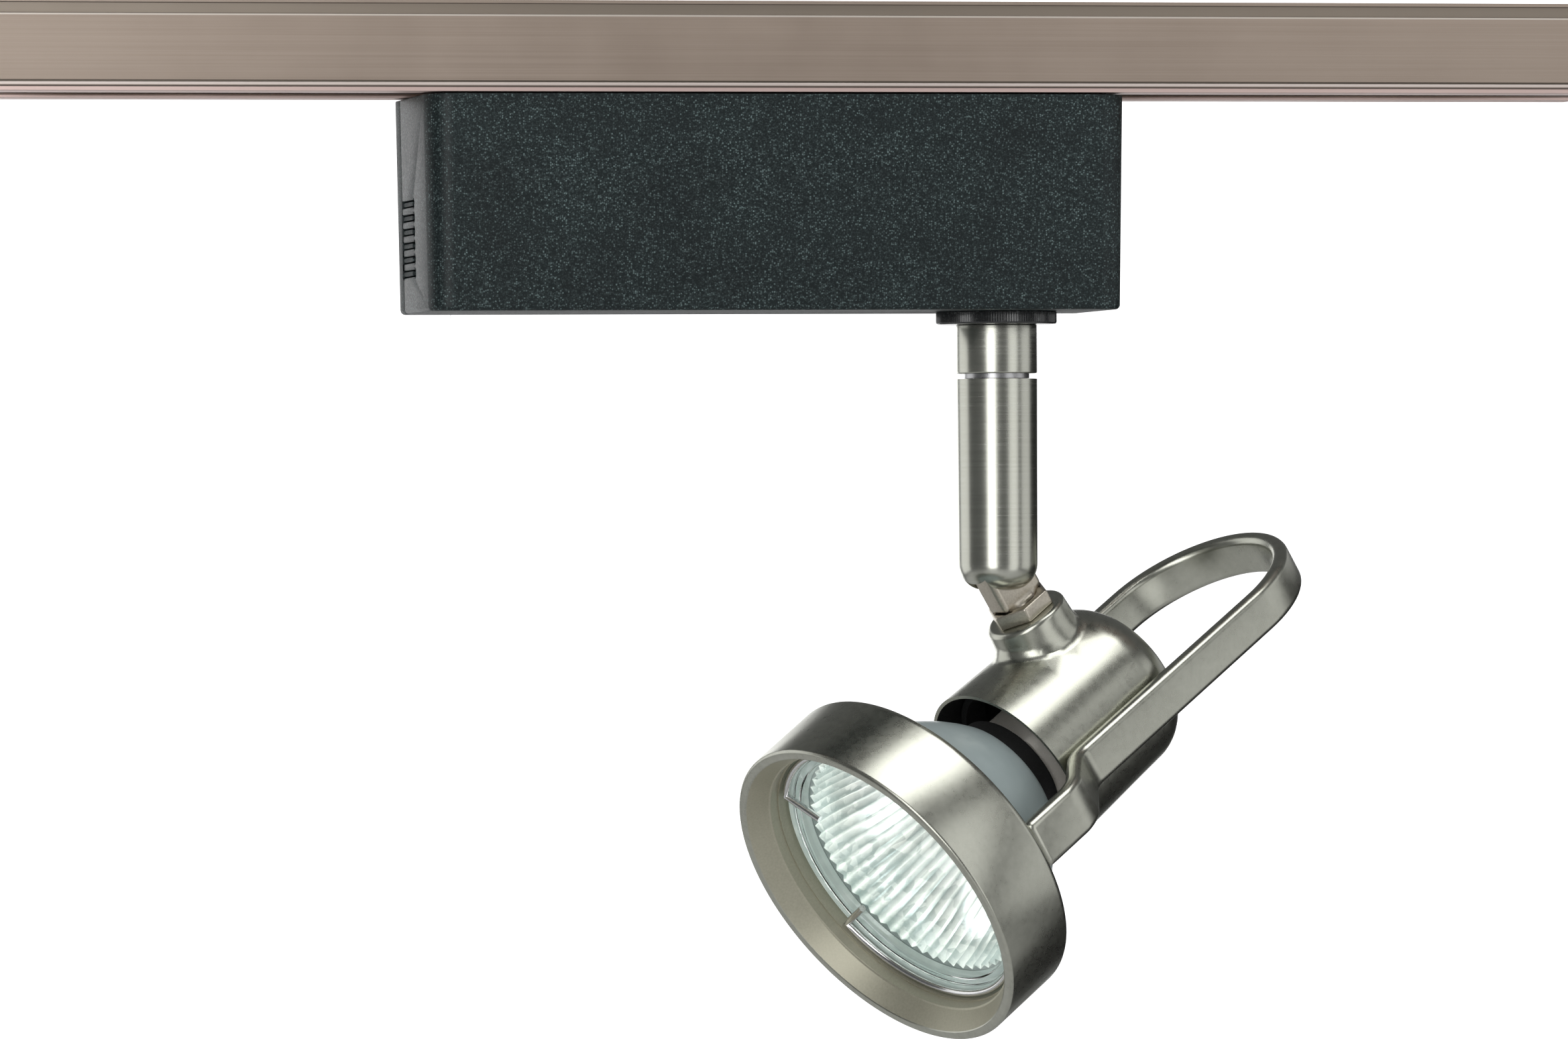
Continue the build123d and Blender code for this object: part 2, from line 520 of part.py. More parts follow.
TRANSISTOR_X, TRANSISTOR_LIFT, TRANSISTOR_SPREAD_Y = BOARD_X - 27.8, 4.0, 5.5
TRANSISTOR_THICK, TRANSISTOR_WIDTH, TRANSISTOR_HEIGHT = 4.4, 9.0, 11.0
with BuildPart() as power_transistors:
    with BuildSketch(Plane((TRANSISTOR_X, 0, BOARD_TOP + TRANSISTOR_LIFT))):
        with Locations((0, -TRANSISTOR_SPREAD_Y), (0, TRANSISTOR_SPREAD_Y)):
            Rectangle(TRANSISTOR_THICK, TRANSISTOR_WIDTH)
    extrude(amount=TRANSISTOR_HEIGHT)
save(power_transistors, "power_transistors")

TERMINAL_X, TERMINAL_THICK, TERMINAL_WIDTH, TERMINAL_HEIGHT = BOARD_X + 34.1, 4.4, 11.0, 8.0
TERMINAL_HOLE, TERMINAL_SPREAD_Y = 1.2, 3.0
with BuildPart() as terminal_block:
    with BuildSketch(Plane((TERMINAL_X, 0, BOARD_TOP))):
        Rectangle(TERMINAL_THICK, TERMINAL_WIDTH)
        with Locations((0, -TERMINAL_SPREAD_Y), (0, TERMINAL_SPREAD_Y)):
            Circle(TERMINAL_HOLE, mode=Mode.SUBTRACT)
    extrude(amount=TERMINAL_HEIGHT)
save(terminal_block, "terminal_block")

# ---------------------------------------------------------------- stem
FLOOR_TOP = BOX_BOTTOM + BOX_WALL
THREAD_RADIUS, THREAD_ABOVE_FLOOR = 5.0, 6.0
COLLAR_CHAMFER = 0.3
WASHER_RADIUS, WASHER_THICK, NUT_THICK, NUT_BORE = 8.5, 0.8, 3.2, 5.05
SWIVEL_WASHER_RADIUS, SWIVEL_WASHER_LIFT = 5.5, 0.1
SWIVEL_NUT_DROP, SWIVEL_NUT_THICK = 3.0, 2.7
with BuildPart() as collar:
    with BuildSketch(stem_plane(BOX_BOTTOM - COLLAR_THICK)):
        Circle(COLLAR_RADIUS)
        Circle(STEM_HOLE_RADIUS, mode=Mode.SUBTRACT)
    extrude(amount=COLLAR_THICK)
    chamfer(collar.edges().filter_by(GeomType.CIRCLE).sort_by(SortBy.RADIUS)[-2:], COLLAR_CHAMFER)
save(collar, "stem_collar")

with BuildPart() as stem_stub:
    with BuildSketch(STEM_PROFILE):
        with BuildLine():
            collar_bottom, thread_top = BOX_BOTTOM - COLLAR_THICK, FLOOR_TOP + THREAD_ABOVE_FLOOR
            Polyline((WIRE_BORE, NIPPLE_END), (NIPPLE_RADIUS, NIPPLE_END), (NIPPLE_RADIUS, STUB_BOTTOM),
                     (STEM_RADIUS, STUB_BOTTOM), (STEM_RADIUS, collar_bottom), (THREAD_RADIUS, collar_bottom),
                     (THREAD_RADIUS, thread_top), (WIRE_BORE, thread_top), close=True)
        make_face()
    revolve(axis=STEM_AXIS)
save(stem_stub, "stem_stub")

with BuildPart() as stem_washer:
    with BuildSketch(stem_plane(FLOOR_TOP)):
        Circle(WASHER_RADIUS)
        Circle(STEM_HOLE_RADIUS, mode=Mode.SUBTRACT)
    extrude(amount=WASHER_THICK)
save(stem_washer, "stem_washer")

with BuildPart() as stem_nut:
    with BuildSketch(stem_plane(FLOOR_TOP + WASHER_THICK)):
        RegularPolygon(NUT_SIZE_LARGE, 6)
        Circle(NUT_BORE, mode=Mode.SUBTRACT)
    extrude(amount=NUT_THICK)
save(stem_nut, "stem_nut")

with BuildPart() as swivel_washer:
    with BuildSketch(stem_plane(TUBE_TOP + SWIVEL_WASHER_LIFT)):
        Circle(SWIVEL_WASHER_RADIUS)
        Circle(NIPPLE_RADIUS + RUNNING, mode=Mode.SUBTRACT)
    extrude(amount=STUB_BOTTOM - TUBE_TOP - SWIVEL_WASHER_LIFT)
save(swivel_washer, "swivel_washer")

with BuildPart() as swivel_nut:
    with BuildSketch(stem_plane(TUBE_TOP - TUBE_FLANGE - SWIVEL_NUT_DROP)):
        RegularPolygon(NUT_SIZE_SMALL, 6)
        Circle(NIPPLE_RADIUS, mode=Mode.SUBTRACT)
    extrude(amount=SWIVEL_NUT_THICK)
save(swivel_nut, "swivel_nut")

SLOT_HALF_WIDTH = TONGUE_THICK / 2 + KNUCKLE_GAP
SLOT_REACH = TONGUE_RADIUS + KNUCKLE_GAP
SLOT_DROP, SLOT_SIDE_REACH = 8.0, 10.0
PIN_HOLE_START, PIN_HOLE_LENGTH = -8.0, 14.0
PIN_START, PIN_LENGTH = -6.4, 12.3
FRICTION_RADIUS, FRICTION_THICK = 2.5, 0.5
with BuildPart() as stem_tube:
    with BuildSketch(STEM_PROFILE):
        with BuildLine():
            flange_bore = NIPPLE_RADIUS + RUNNING
            foot_centre, foot_floor = TUBE_BOTTOM + FOOT_ROUND, TUBE_BOTTOM + FOOT_WALL
            bore_centre, bore_flat = foot_floor + FOOT_BORE_ROUND, TUBE_BORE - FOOT_BORE_ROUND
            Polyline((0, foot_floor), (0, TUBE_BOTTOM), (STEM_FOOT_RADIUS - FOOT_ROUND, TUBE_BOTTOM))
            CenterArc((STEM_FOOT_RADIUS - FOOT_ROUND, foot_centre), FOOT_ROUND, -90, 90)
            Polyline((STEM_FOOT_RADIUS, foot_centre), (STEM_RADIUS, TUBE_TOP), (flange_bore, TUBE_TOP),
                     (flange_bore, TUBE_TOP - TUBE_FLANGE), (TUBE_BORE, TUBE_TOP - TUBE_FLANGE),
                     (TUBE_BORE, bore_centre))
            CenterArc((bore_flat, bore_centre), FOOT_BORE_ROUND, -90, 90)
            Line((bore_flat, foot_floor), (0, foot_floor))
        make_face()
    revolve(axis=STEM_AXIS)
    with BuildSketch(STEM_TURNED.offset(-SLOT_DROP)):
        with Locations((SLOT_SIDE_REACH / 2, 0)):
            Rectangle(SLOT_SIDE_REACH, 2 * SLOT_HALF_WIDTH)
    extrude(amount=SLOT_DROP + SLOT_REACH, mode=Mode.SUBTRACT)
    with BuildSketch(STEM_TURNED.offset(-SLOT_DROP)):
        Rectangle(2 * SLOT_REACH, 2 * SLOT_HALF_WIDTH)
    extrude(amount=SLOT_DROP, mode=Mode.SUBTRACT)
    with BuildSketch(PIVOT_SIDE.offset(PIN_HOLE_START)):
        Circle(PIN_RADIUS)
    extrude(amount=PIN_HOLE_LENGTH, mode=Mode.SUBTRACT)
save(stem_tube, "stem_tube")

with BuildPart() as pivot_pin:
    with BuildSketch(PIVOT_SIDE.offset(PIN_START)):
        Circle(PIN_RADIUS)
    extrude(amount=PIN_LENGTH)
save(pivot_pin, "pivot_pin")

with BuildPart() as friction_washers:
    for side in (-1, 1):
        with BuildSketch(PIVOT_SIDE.offset(side * (TONGUE_THICK / 2 + RUNNING))):
            Circle(FRICTION_RADIUS)
            Circle(PIN_RADIUS, mode=Mode.SUBTRACT)
        extrude(amount=side * FRICTION_THICK)
save(friction_washers, "friction_washers")

# ---------------------------------------------------------------- knuckle and lamp cap
with BuildPart() as knuckle_tongue:
    with BuildSketch(PIVOT_SIDE):
        Circle(TONGUE_RADIUS)
        with Locations((0, -KNUCKLE_NUT_NEAR / 2)):
            Rectangle(2 * TONGUE_RADIUS, KNUCKLE_NUT_NEAR)
        Circle(PIN_RADIUS + RUNNING, mode=Mode.SUBTRACT)
    extrude(amount=TONGUE_THICK / 2, both=True)
    with BuildSketch(PIVOT_DOWN.offset(KNUCKLE_NUT_NEAR)):
        Circle(STUD_RADIUS)
    extrude(amount=STUD_LENGTH)
save(knuckle_tongue, "knuckle_tongue")

with BuildPart() as knuckle_nut:
    with BuildSketch(PIVOT_DOWN.offset(KNUCKLE_NUT_NEAR)):
        RegularPolygon(KNUCKLE_NUT_SIZE, 6)
        Circle(STUD_RADIUS, mode=Mode.SUBTRACT)
    extrude(amount=KNUCKLE_NUT_FAR - KNUCKLE_NUT_NEAR)
save(knuckle_nut, "knuckle_nut")

CAP_ROUND = CAP_BACK - CAP_SHOULDER
BOSS_LENGTH, BOSS_TAPER, BOSS_BLEND, BOSS_EDGE = 10.0, -4, 2.2, 1.0
BOSS_JOIN_NEAR, BOSS_JOIN_FAR = 12.0, 17.0
with BuildPart() as lamp_cap:
    with BuildSketch(HEAD_PROFILE):
        with BuildLine():
            Polyline((0, CAP_BACK), (0, CAP_FRONT), (CAP_FRONT_RADIUS, CAP_FRONT),
                     (CAP_BACK_RADIUS, CAP_SHOULDER))
            CenterArc((CAP_BACK_RADIUS - CAP_ROUND, CAP_SHOULDER), CAP_ROUND, 0, 90)
            Line((CAP_BACK_RADIUS - CAP_ROUND, CAP_BACK), (0, CAP_BACK))
        make_face()
    revolve(axis=HEAD_AXIS)
    with BuildSketch(PIVOT_DOWN.offset(KNUCKLE_NUT_FAR)):
        Circle(BOSS_RADIUS)
    extrude(amount=BOSS_LENGTH, taper=BOSS_TAPER)
    joint_line = lamp_cap.edges(Select.LAST).filter_by(
        lambda e: BOSS_JOIN_NEAR < (e.center() - HEAD_ORIGIN).dot(UP) < BOSS_JOIN_FAR
        and e.geom_type != GeomType.CIRCLE)
    fillet(joint_line, BOSS_BLEND)
    boss_rim = lamp_cap.edges().sort_by(Axis(HEAD_ORIGIN, UP))[-1]
    fillet(boss_rim, BOSS_EDGE)
    with BuildSketch(HEAD_PROFILE):
        with BuildLine():
            inner_front, inner_back = CAP_FRONT_RADIUS - CAP_WALL, CAP_BACK_RADIUS - CAP_WALL
            inner_round = CAP_ROUND - CAP_WALL
            Polyline((0, CAP_BACK - CAP_WALL), (0, CAP_FRONT), (CAP_FRONT_RADIUS - CAP_LIP, CAP_FRONT),
                     (inner_front, CAP_FRONT + CAP_FLARE), (inner_back, CAP_SHOULDER))
            CenterArc((inner_back - inner_round, CAP_SHOULDER), inner_round, 0, 90)
            Line((inner_back - inner_round, CAP_BACK - CAP_WALL), (0, CAP_BACK - CAP_WALL))
        make_face()
    revolve(axis=HEAD_AXIS, mode=Mode.SUBTRACT)
    with BuildSketch(PIVOT_DOWN.offset(KNUCKLE_NUT_FAR)):
        Circle(STUD_RADIUS + RUNNING)
    extrude(amount=BOSS_LENGTH + 2, mode=Mode.SUBTRACT)
    with BuildSketch(PIVOT_SIDE):
        with Locations(YOKE_SCREW_PLACE):
            Circle(YOKE_HOLE_RADIUS)
    extrude(amount=CAP_FRONT_RADIUS + CAP_WALL, both=True, mode=Mode.SUBTRACT)
save(lamp_cap, "lamp_cap")

# ---------------------------------------------------------------- ring, arms and loop handle
with BuildPart() as lamp_ring:
    with BuildSketch(HEAD_PROFILE):
        with BuildLine():
            Polyline((RING_MOUTH, 0), (RING_RADIUS - RING_CHAMFER, 0), (RING_RADIUS, RING_CHAMFER),
                     (RING_RADIUS, RING_LENGTH - RING_ROUND))
            CenterArc((RING_RADIUS - RING_ROUND, RING_LENGTH - RING_ROUND), RING_ROUND, 0, 90)
            Polyline((RING_RADIUS - RING_ROUND, RING_LENGTH), (RING_LIP_RADIUS, RING_LENGTH),
                     (RING_LIP_RADIUS, LAMP_SEAT), (RING_BORE, LAMP_SEAT), (RING_BORE, GROOVE_BACK),
                     (GROOVE_RADIUS, GROOVE_BACK), (GROOVE_RADIUS, GROOVE_FRONT),
                     (FLARE_RADIUS, FLARE_BACK), (RING_MOUTH, 0))
        make_face()
    revolve(axis=HEAD_AXIS)
save(lamp_ring, "lamp_ring")

ARM_SPREAD, ARM_LEAN = 27.2, 0.2
ARM_BEND, STRAP_START = 28.5, 37.5
TAPER_START, TAPER_END, PAST_LOOP = 30.0, 42.0, 110.0
PAD_LENGTH_BACK, PAD_HEIGHT, PAD_THICK, PAD_SINK = 8.0, 5.0, 2.0, 0.4
YOKE_HEAD, YOKE_HEAD_HEIGHT, YOKE_SHANK, YOKE_SHANK_LENGTH = 2.4, 1.2, 1.2, 4.4
BEND_RADII = (5, 4)
with BuildPart() as yoke_handle:
    with BuildSketch(STRAP_PLAN):
        with BuildLine() as route:
            arm_near = ARM_SPREAD - ARM_LEAN
            FilletPolyline((ARM_SPREAD, RING_LENGTH), (arm_near, ARM_BEND), (STRAP_HALF_GAP, STRAP_START),
                           (STRAP_HALF_GAP, STRAP_END), radius=BEND_RADII)
            CenterArc((0, STRAP_END), STRAP_HALF_GAP, 0, 180)
            FilletPolyline((-STRAP_HALF_GAP, STRAP_END), (-STRAP_HALF_GAP, STRAP_START),
                           (-arm_near, ARM_BEND), (-ARM_SPREAD, RING_LENGTH), radius=BEND_RADII[::-1])
        trace(route.line, line_width=STRAP_THICK)
    extrude(amount=ARM_HALF_WIDTH, both=True)
    with BuildSketch(STRAP_PROFILE):
        with BuildLine():
            Polyline((ARM_HALF_WIDTH, RING_LENGTH), (ARM_HALF_WIDTH, TAPER_START),
                     (STRAP_HALF_WIDTH, TAPER_END), (STRAP_HALF_WIDTH, PAST_LOOP),
                     (-STRAP_HALF_WIDTH, PAST_LOOP), (-STRAP_HALF_WIDTH, TAPER_END),
                     (-ARM_HALF_WIDTH, TAPER_START), (-ARM_HALF_WIDTH, RING_LENGTH), close=True)
        make_face()
    extrude(amount=RING_RADIUS, both=True, mode=Mode.INTERSECT)
    for side in (-1, 1):
        with BuildSketch(PIVOT_SIDE.offset(side * (CAP_BACK_RADIUS - PAD_SINK))):
            with Locations(YOKE_SCREW_PLACE):
                Rectangle(PAD_LENGTH_BACK, PAD_HEIGHT)
        extrude(amount=side * PAD_THICK)
        with BuildSketch(PIVOT_SIDE.offset(side * YOKE_HOLE_START)):
            with Locations(YOKE_SCREW_PLACE):
                Circle(YOKE_HOLE_RADIUS)
        extrude(amount=side * YOKE_SHANK_LENGTH, mode=Mode.SUBTRACT)
save(yoke_handle, "yoke_handle")

with BuildPart() as yoke_screws:
    for side in (-1, 1):
        with BuildSketch(PIVOT_SIDE.offset(side * YOKE_SCREW_SPREAD)):
            with Locations(YOKE_SCREW_PLACE):
                Circle(YOKE_HEAD)
        extrude(amount=-side * YOKE_HEAD_HEIGHT)
        with BuildSketch(PIVOT_SIDE.offset(side * YOKE_SCREW_SPREAD)):
            with Locations(YOKE_SCREW_PLACE):
                Circle(YOKE_SHANK)
        extrude(amount=side * YOKE_SHANK_LENGTH)
save(yoke_screws, "yoke_screws")

# ---------------------------------------------------------------- inside the cap
LINER_RADIUS, LINER_BORE, LINER_LENGTH = 14.3, 13.2, 5.0
with BuildPart() as cap_liner:
    with BuildSketch(HEAD_FRONT.offset(CAP_FRONT + CAP_FLARE)):
        Circle(LINER_RADIUS)
        Circle(LINER_BORE, mode=Mode.SUBTRACT)
    extrude(amount=LINER_LENGTH)
save(cap_liner, "cap_liner")

HOLDER_FRONT, HOLDER_BACK, HOLDER_RADIUS = LAMP_BASE_BACK + 0.4, 57.5, 9.5
SOCKET_GAP, SOCKET_DEPTH = 0.1, 9.0
BRACKET_RADIUS, BRACKET_BORE, BRACKET_THICK = 13.4, 4.0, 1.2
HOLDER_SCREW_SPACING, HOLDER_TAP, HOLDER_HOLE, TAP_DEPTH = 12.0, 1.1, 1.15, 6.0
HOLDER_HEAD, HOLDER_HEAD_HEIGHT, HOLDER_SHANK, HOLDER_SHANK_LENGTH = 2.0, 1.2, 1.05, 6.5
with BuildPart() as lampholder:
    with BuildSketch(HEAD_FRONT.offset(HOLDER_FRONT)):
        Circle(HOLDER_RADIUS)
    extrude(amount=HOLDER_BACK - HOLDER_FRONT)
    with BuildSketch(HEAD_FRONT.offset(HOLDER_FRONT)):
        with GridLocations(0, PIN_SPACING, 1, 2):
            Circle(LAMP_PIN_RADIUS + SOCKET_GAP)
    extrude(amount=SOCKET_DEPTH, mode=Mode.SUBTRACT)
    with BuildSketch(HEAD_FRONT.offset(HOLDER_BACK)):
        with GridLocations(HOLDER_SCREW_SPACING, 0, 2, 1):
            Circle(HOLDER_TAP)
    extrude(amount=-TAP_DEPTH, mode=Mode.SUBTRACT)
save(lampholder, "lampholder")

with BuildPart() as holder_bracket:
    with BuildSketch(HEAD_FRONT.offset(HOLDER_BACK)):
        Circle(BRACKET_RADIUS)
        Circle(BRACKET_BORE, mode=Mode.SUBTRACT)
        with GridLocations(HOLDER_SCREW_SPACING, 0, 2, 1):
            Circle(HOLDER_HOLE, mode=Mode.SUBTRACT)
    extrude(amount=BRACKET_THICK)
save(holder_bracket, "holder_bracket")

with BuildPart() as holder_screws:
    with BuildSketch(HEAD_FRONT.offset(HOLDER_BACK + BRACKET_THICK)):
        with GridLocations(HOLDER_SCREW_SPACING, 0, 2, 1):
            Circle(HOLDER_HEAD)
    extrude(amount=HOLDER_HEAD_HEIGHT)
    with BuildSketch(HEAD_FRONT.offset(HOLDER_BACK + BRACKET_THICK)):
        with GridLocations(HOLDER_SCREW_SPACING, 0, 2, 1):
            Circle(HOLDER_SHANK)
    extrude(amount=-HOLDER_SHANK_LENGTH)
save(holder_screws, "holder_screws")

# ---------------------------------------------------------------- lamp and its wire clip
NECK_FRONT, NECK_RADIUS, NECK_BORE = 33.5, 10.6, 9.4
BOWL_FRONT, BOWL_BACK, NECK_BACK = LAMP_RIM_BACK + 0.2, 32.0, 36.0
BOWL_OUTSIDE = [(23.7, BOWL_FRONT), (22.6, 16), (20.0, 22), (16.4, 27.6), (12.3, BOWL_BACK)]
BOWL_INSIDE = [(NECK_BORE, 31), (14.6, 26.8), (18.6, 21.3), (21.4, 15.5), (22.4, LAMP_RIM_BACK)]
RIM_SEAT_RADIUS, RIM_SEAT_BACK = LAMP_RADIUS - 1.1, LAMP_FRONT + 1.7
GLASS_RADIUS, GLASS_THICK, GLASS_INSET = LAMP_RADIUS - 1.15, 1.3, 0.2
CAPSULE_TIP, CAPSULE_RADIUS = 17.0, 4.2
BASE_DISC_RADIUS, BASE_DISC_THICK = 9.3, 3.0
BASE_WIDTH, BASE_LENGTH, BASE_ROUND = 12.0, 18.0, 2.0
LAMP_PIN_LENGTH = 7.5
with BuildPart() as lamp_reflector:
    with BuildSketch(HEAD_PROFILE):
        with BuildLine():
            Polyline((RIM_SEAT_RADIUS, LAMP_FRONT), (LAMP_RADIUS, LAMP_FRONT), (LAMP_RADIUS, LAMP_RIM_BACK),
                     BOWL_OUTSIDE[0])
            Spline(*BOWL_OUTSIDE)
            Polyline(BOWL_OUTSIDE[-1], (NECK_RADIUS, BOWL_BACK), (NECK_RADIUS, NECK_BACK),
                     (NECK_BORE, NECK_BACK), BOWL_INSIDE[0])
            Spline(*BOWL_INSIDE)
            Polyline(BOWL_INSIDE[-1], (RIM_SEAT_RADIUS, RIM_SEAT_BACK), (RIM_SEAT_RADIUS, LAMP_FRONT))
        make_face()
    revolve(axis=HEAD_AXIS)
save(lamp_reflector, "lamp_reflector")

with BuildPart() as lamp_glass:
    with BuildSketch(HEAD_FRONT.offset(LAMP_FRONT + GLASS_INSET)):
        Circle(GLASS_RADIUS)
    extrude(amount=GLASS_THICK)
save(lamp_glass, "lamp_front_glass")

with BuildPart() as lamp_capsule:
    with BuildSketch(HEAD_PROFILE):
        with BuildLine():
            dome_centre = CAPSULE_TIP + CAPSULE_RADIUS
            Polyline((0, CAPSULE_TIP), (0, NECK_FRONT), (CAPSULE_RADIUS, NECK_FRONT),
                     (CAPSULE_RADIUS, dome_centre))
            CenterArc((0, dome_centre), CAPSULE_RADIUS, 0, -90)
        make_face()
    revolve(axis=HEAD_AXIS)
save(lamp_capsule, "lamp_capsule")

with BuildPart() as lamp_base:
    with BuildSketch(HEAD_FRONT.offset(NECK_FRONT)):
        Circle(BASE_DISC_RADIUS)
    extrude(amount=BASE_DISC_THICK)
    with BuildSketch(HEAD_FRONT.offset(NECK_FRONT + BASE_DISC_THICK)):
        RectangleRounded(BASE_WIDTH, BASE_LENGTH, BASE_ROUND)
    extrude(amount=LAMP_BASE_BACK - NECK_FRONT - BASE_DISC_THICK)
save(lamp_base, "lamp_base")

with BuildPart() as lamp_pins:
    with BuildSketch(HEAD_FRONT.offset(LAMP_BASE_BACK)):
        with GridLocations(0, PIN_SPACING, 1, 2):
            Circle(LAMP_PIN_RADIUS)
    extrude(amount=LAMP_PIN_LENGTH)
save(lamp_pins, "lamp_pins")

CLIP_PLANE = HEAD_FRONT.offset(CLIP_BACK)
with BuildPart() as lamp_clip:
    with BuildLine(CLIP_PLANE) as clip_arc:
        CenterArc((0, 0), CLIP_RING_RADIUS, CLIP_START_ANGLE, CLIP_SWEEP)
    with BuildSketch(Plane(origin=clip_arc.line @ 0, z_dir=clip_arc.line % 0)):
        Circle(CLIP_WIRE_RADIUS)
    sweep(path=clip_arc.line)
    for angle in (CLIP_START_ANGLE, CLIP_START_ANGLE + CLIP_SWEEP):
        outward = UP * cos(radians(angle)) + TILT_AXIS * sin(radians(angle))
        knee = CLIP_PLANE.origin + outward * CLIP_RING_RADIUS
        with Locations(knee):
            Sphere(CLIP_WIRE_RADIUS)
        with BuildSketch(Plane(origin=knee, z_dir=-outward)):
            Circle(CLIP_WIRE_RADIUS)
        extrude(amount=CLIP_LEG)
save(lamp_clip, "retaining_clip")
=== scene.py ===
"""Track spotlight: the finishes, turned parts, castings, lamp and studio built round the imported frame."""
import json
import logging
import math
from collections.abc import Callable, Iterable
from dataclasses import dataclass
from enum import Enum

import bmesh
import bpy
from mathutils import Matrix, Vector


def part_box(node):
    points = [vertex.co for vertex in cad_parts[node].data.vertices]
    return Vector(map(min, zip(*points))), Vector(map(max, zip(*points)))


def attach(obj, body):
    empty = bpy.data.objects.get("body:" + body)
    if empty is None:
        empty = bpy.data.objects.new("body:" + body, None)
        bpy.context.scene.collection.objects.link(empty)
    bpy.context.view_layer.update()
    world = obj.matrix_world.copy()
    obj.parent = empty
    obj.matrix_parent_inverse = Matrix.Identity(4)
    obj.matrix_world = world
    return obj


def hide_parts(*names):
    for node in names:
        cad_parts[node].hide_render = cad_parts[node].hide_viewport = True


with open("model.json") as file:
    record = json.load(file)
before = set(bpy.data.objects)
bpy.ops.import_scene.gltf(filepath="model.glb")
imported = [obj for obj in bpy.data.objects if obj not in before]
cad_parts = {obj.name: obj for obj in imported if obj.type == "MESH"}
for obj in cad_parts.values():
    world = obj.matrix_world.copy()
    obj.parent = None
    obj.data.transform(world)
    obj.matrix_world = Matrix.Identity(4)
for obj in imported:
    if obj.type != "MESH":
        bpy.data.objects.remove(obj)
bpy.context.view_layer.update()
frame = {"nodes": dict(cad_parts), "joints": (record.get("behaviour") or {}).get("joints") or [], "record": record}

MM = 0.001
TURN_STEPS = 144
RING_STEPS = 192
CORNER_STEPS = 5
WELD = 1e-7
COPY_WELD = 2e-6
FACES_FORWARD = 0.7
SMOOTH_ANGLE = math.radians(32)
log = logging.getLogger("spotlight")


# ---------------------------------------------------------------- places taken from the frame
def joint(name: str) -> dict:
    """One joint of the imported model.

    Args:
        name: the joint's name.

    Returns:
        The joint's entry in the record.
    """
    return next(entry for entry in frame["joints"] if entry["name"] == name)


@dataclass(frozen=True)
class Datum:
    """A local frame: x runs up, y across and z along the axis of the parts that are turned on it."""

    up: Vector
    across: Vector
    along: Vector
    origin: Vector

    def matrix(self) -> Matrix:
        """The matrix that carries local metres into the object's frame."""
        turned_axes = Matrix((self.up, self.across, self.along)).transposed().to_4x4()
        return Matrix.Translation(self.origin) @ turned_axes


PIVOT_HEIGHT = 30.15 * MM
PIVOT_SETBACK = 53.7 * MM


def head_datum() -> Datum:
    """The lamp head's frame: z runs back from the ring's front, x up to the tilt pivot.

    Returns:
        The frame, worked out from the tilt and pull joints.
    """
    tilt = joint("head_tilt")
    along = -Vector(joint("lamp_pull")["axis"]).normalized()
    across = Vector(tilt["axis"]).normalized()
    up = across.cross(along).normalized()
    pivot = Vector(tilt["pos_m"])
    return Datum(up, across, along, pivot - up * PIVOT_HEIGHT - along * PIVOT_SETBACK)


def stem_datum() -> Datum:
    """The stem's frame: z runs up its axis from the height of the track's top, x along the track."""
    pivot = Vector(joint("stem_swivel")["pos_m"])
    return Datum(Vector((1, 0, 0)), Vector((0, 1, 0)), Vector((0, 0, 1)), Vector((pivot.x, pivot.y, 0)))


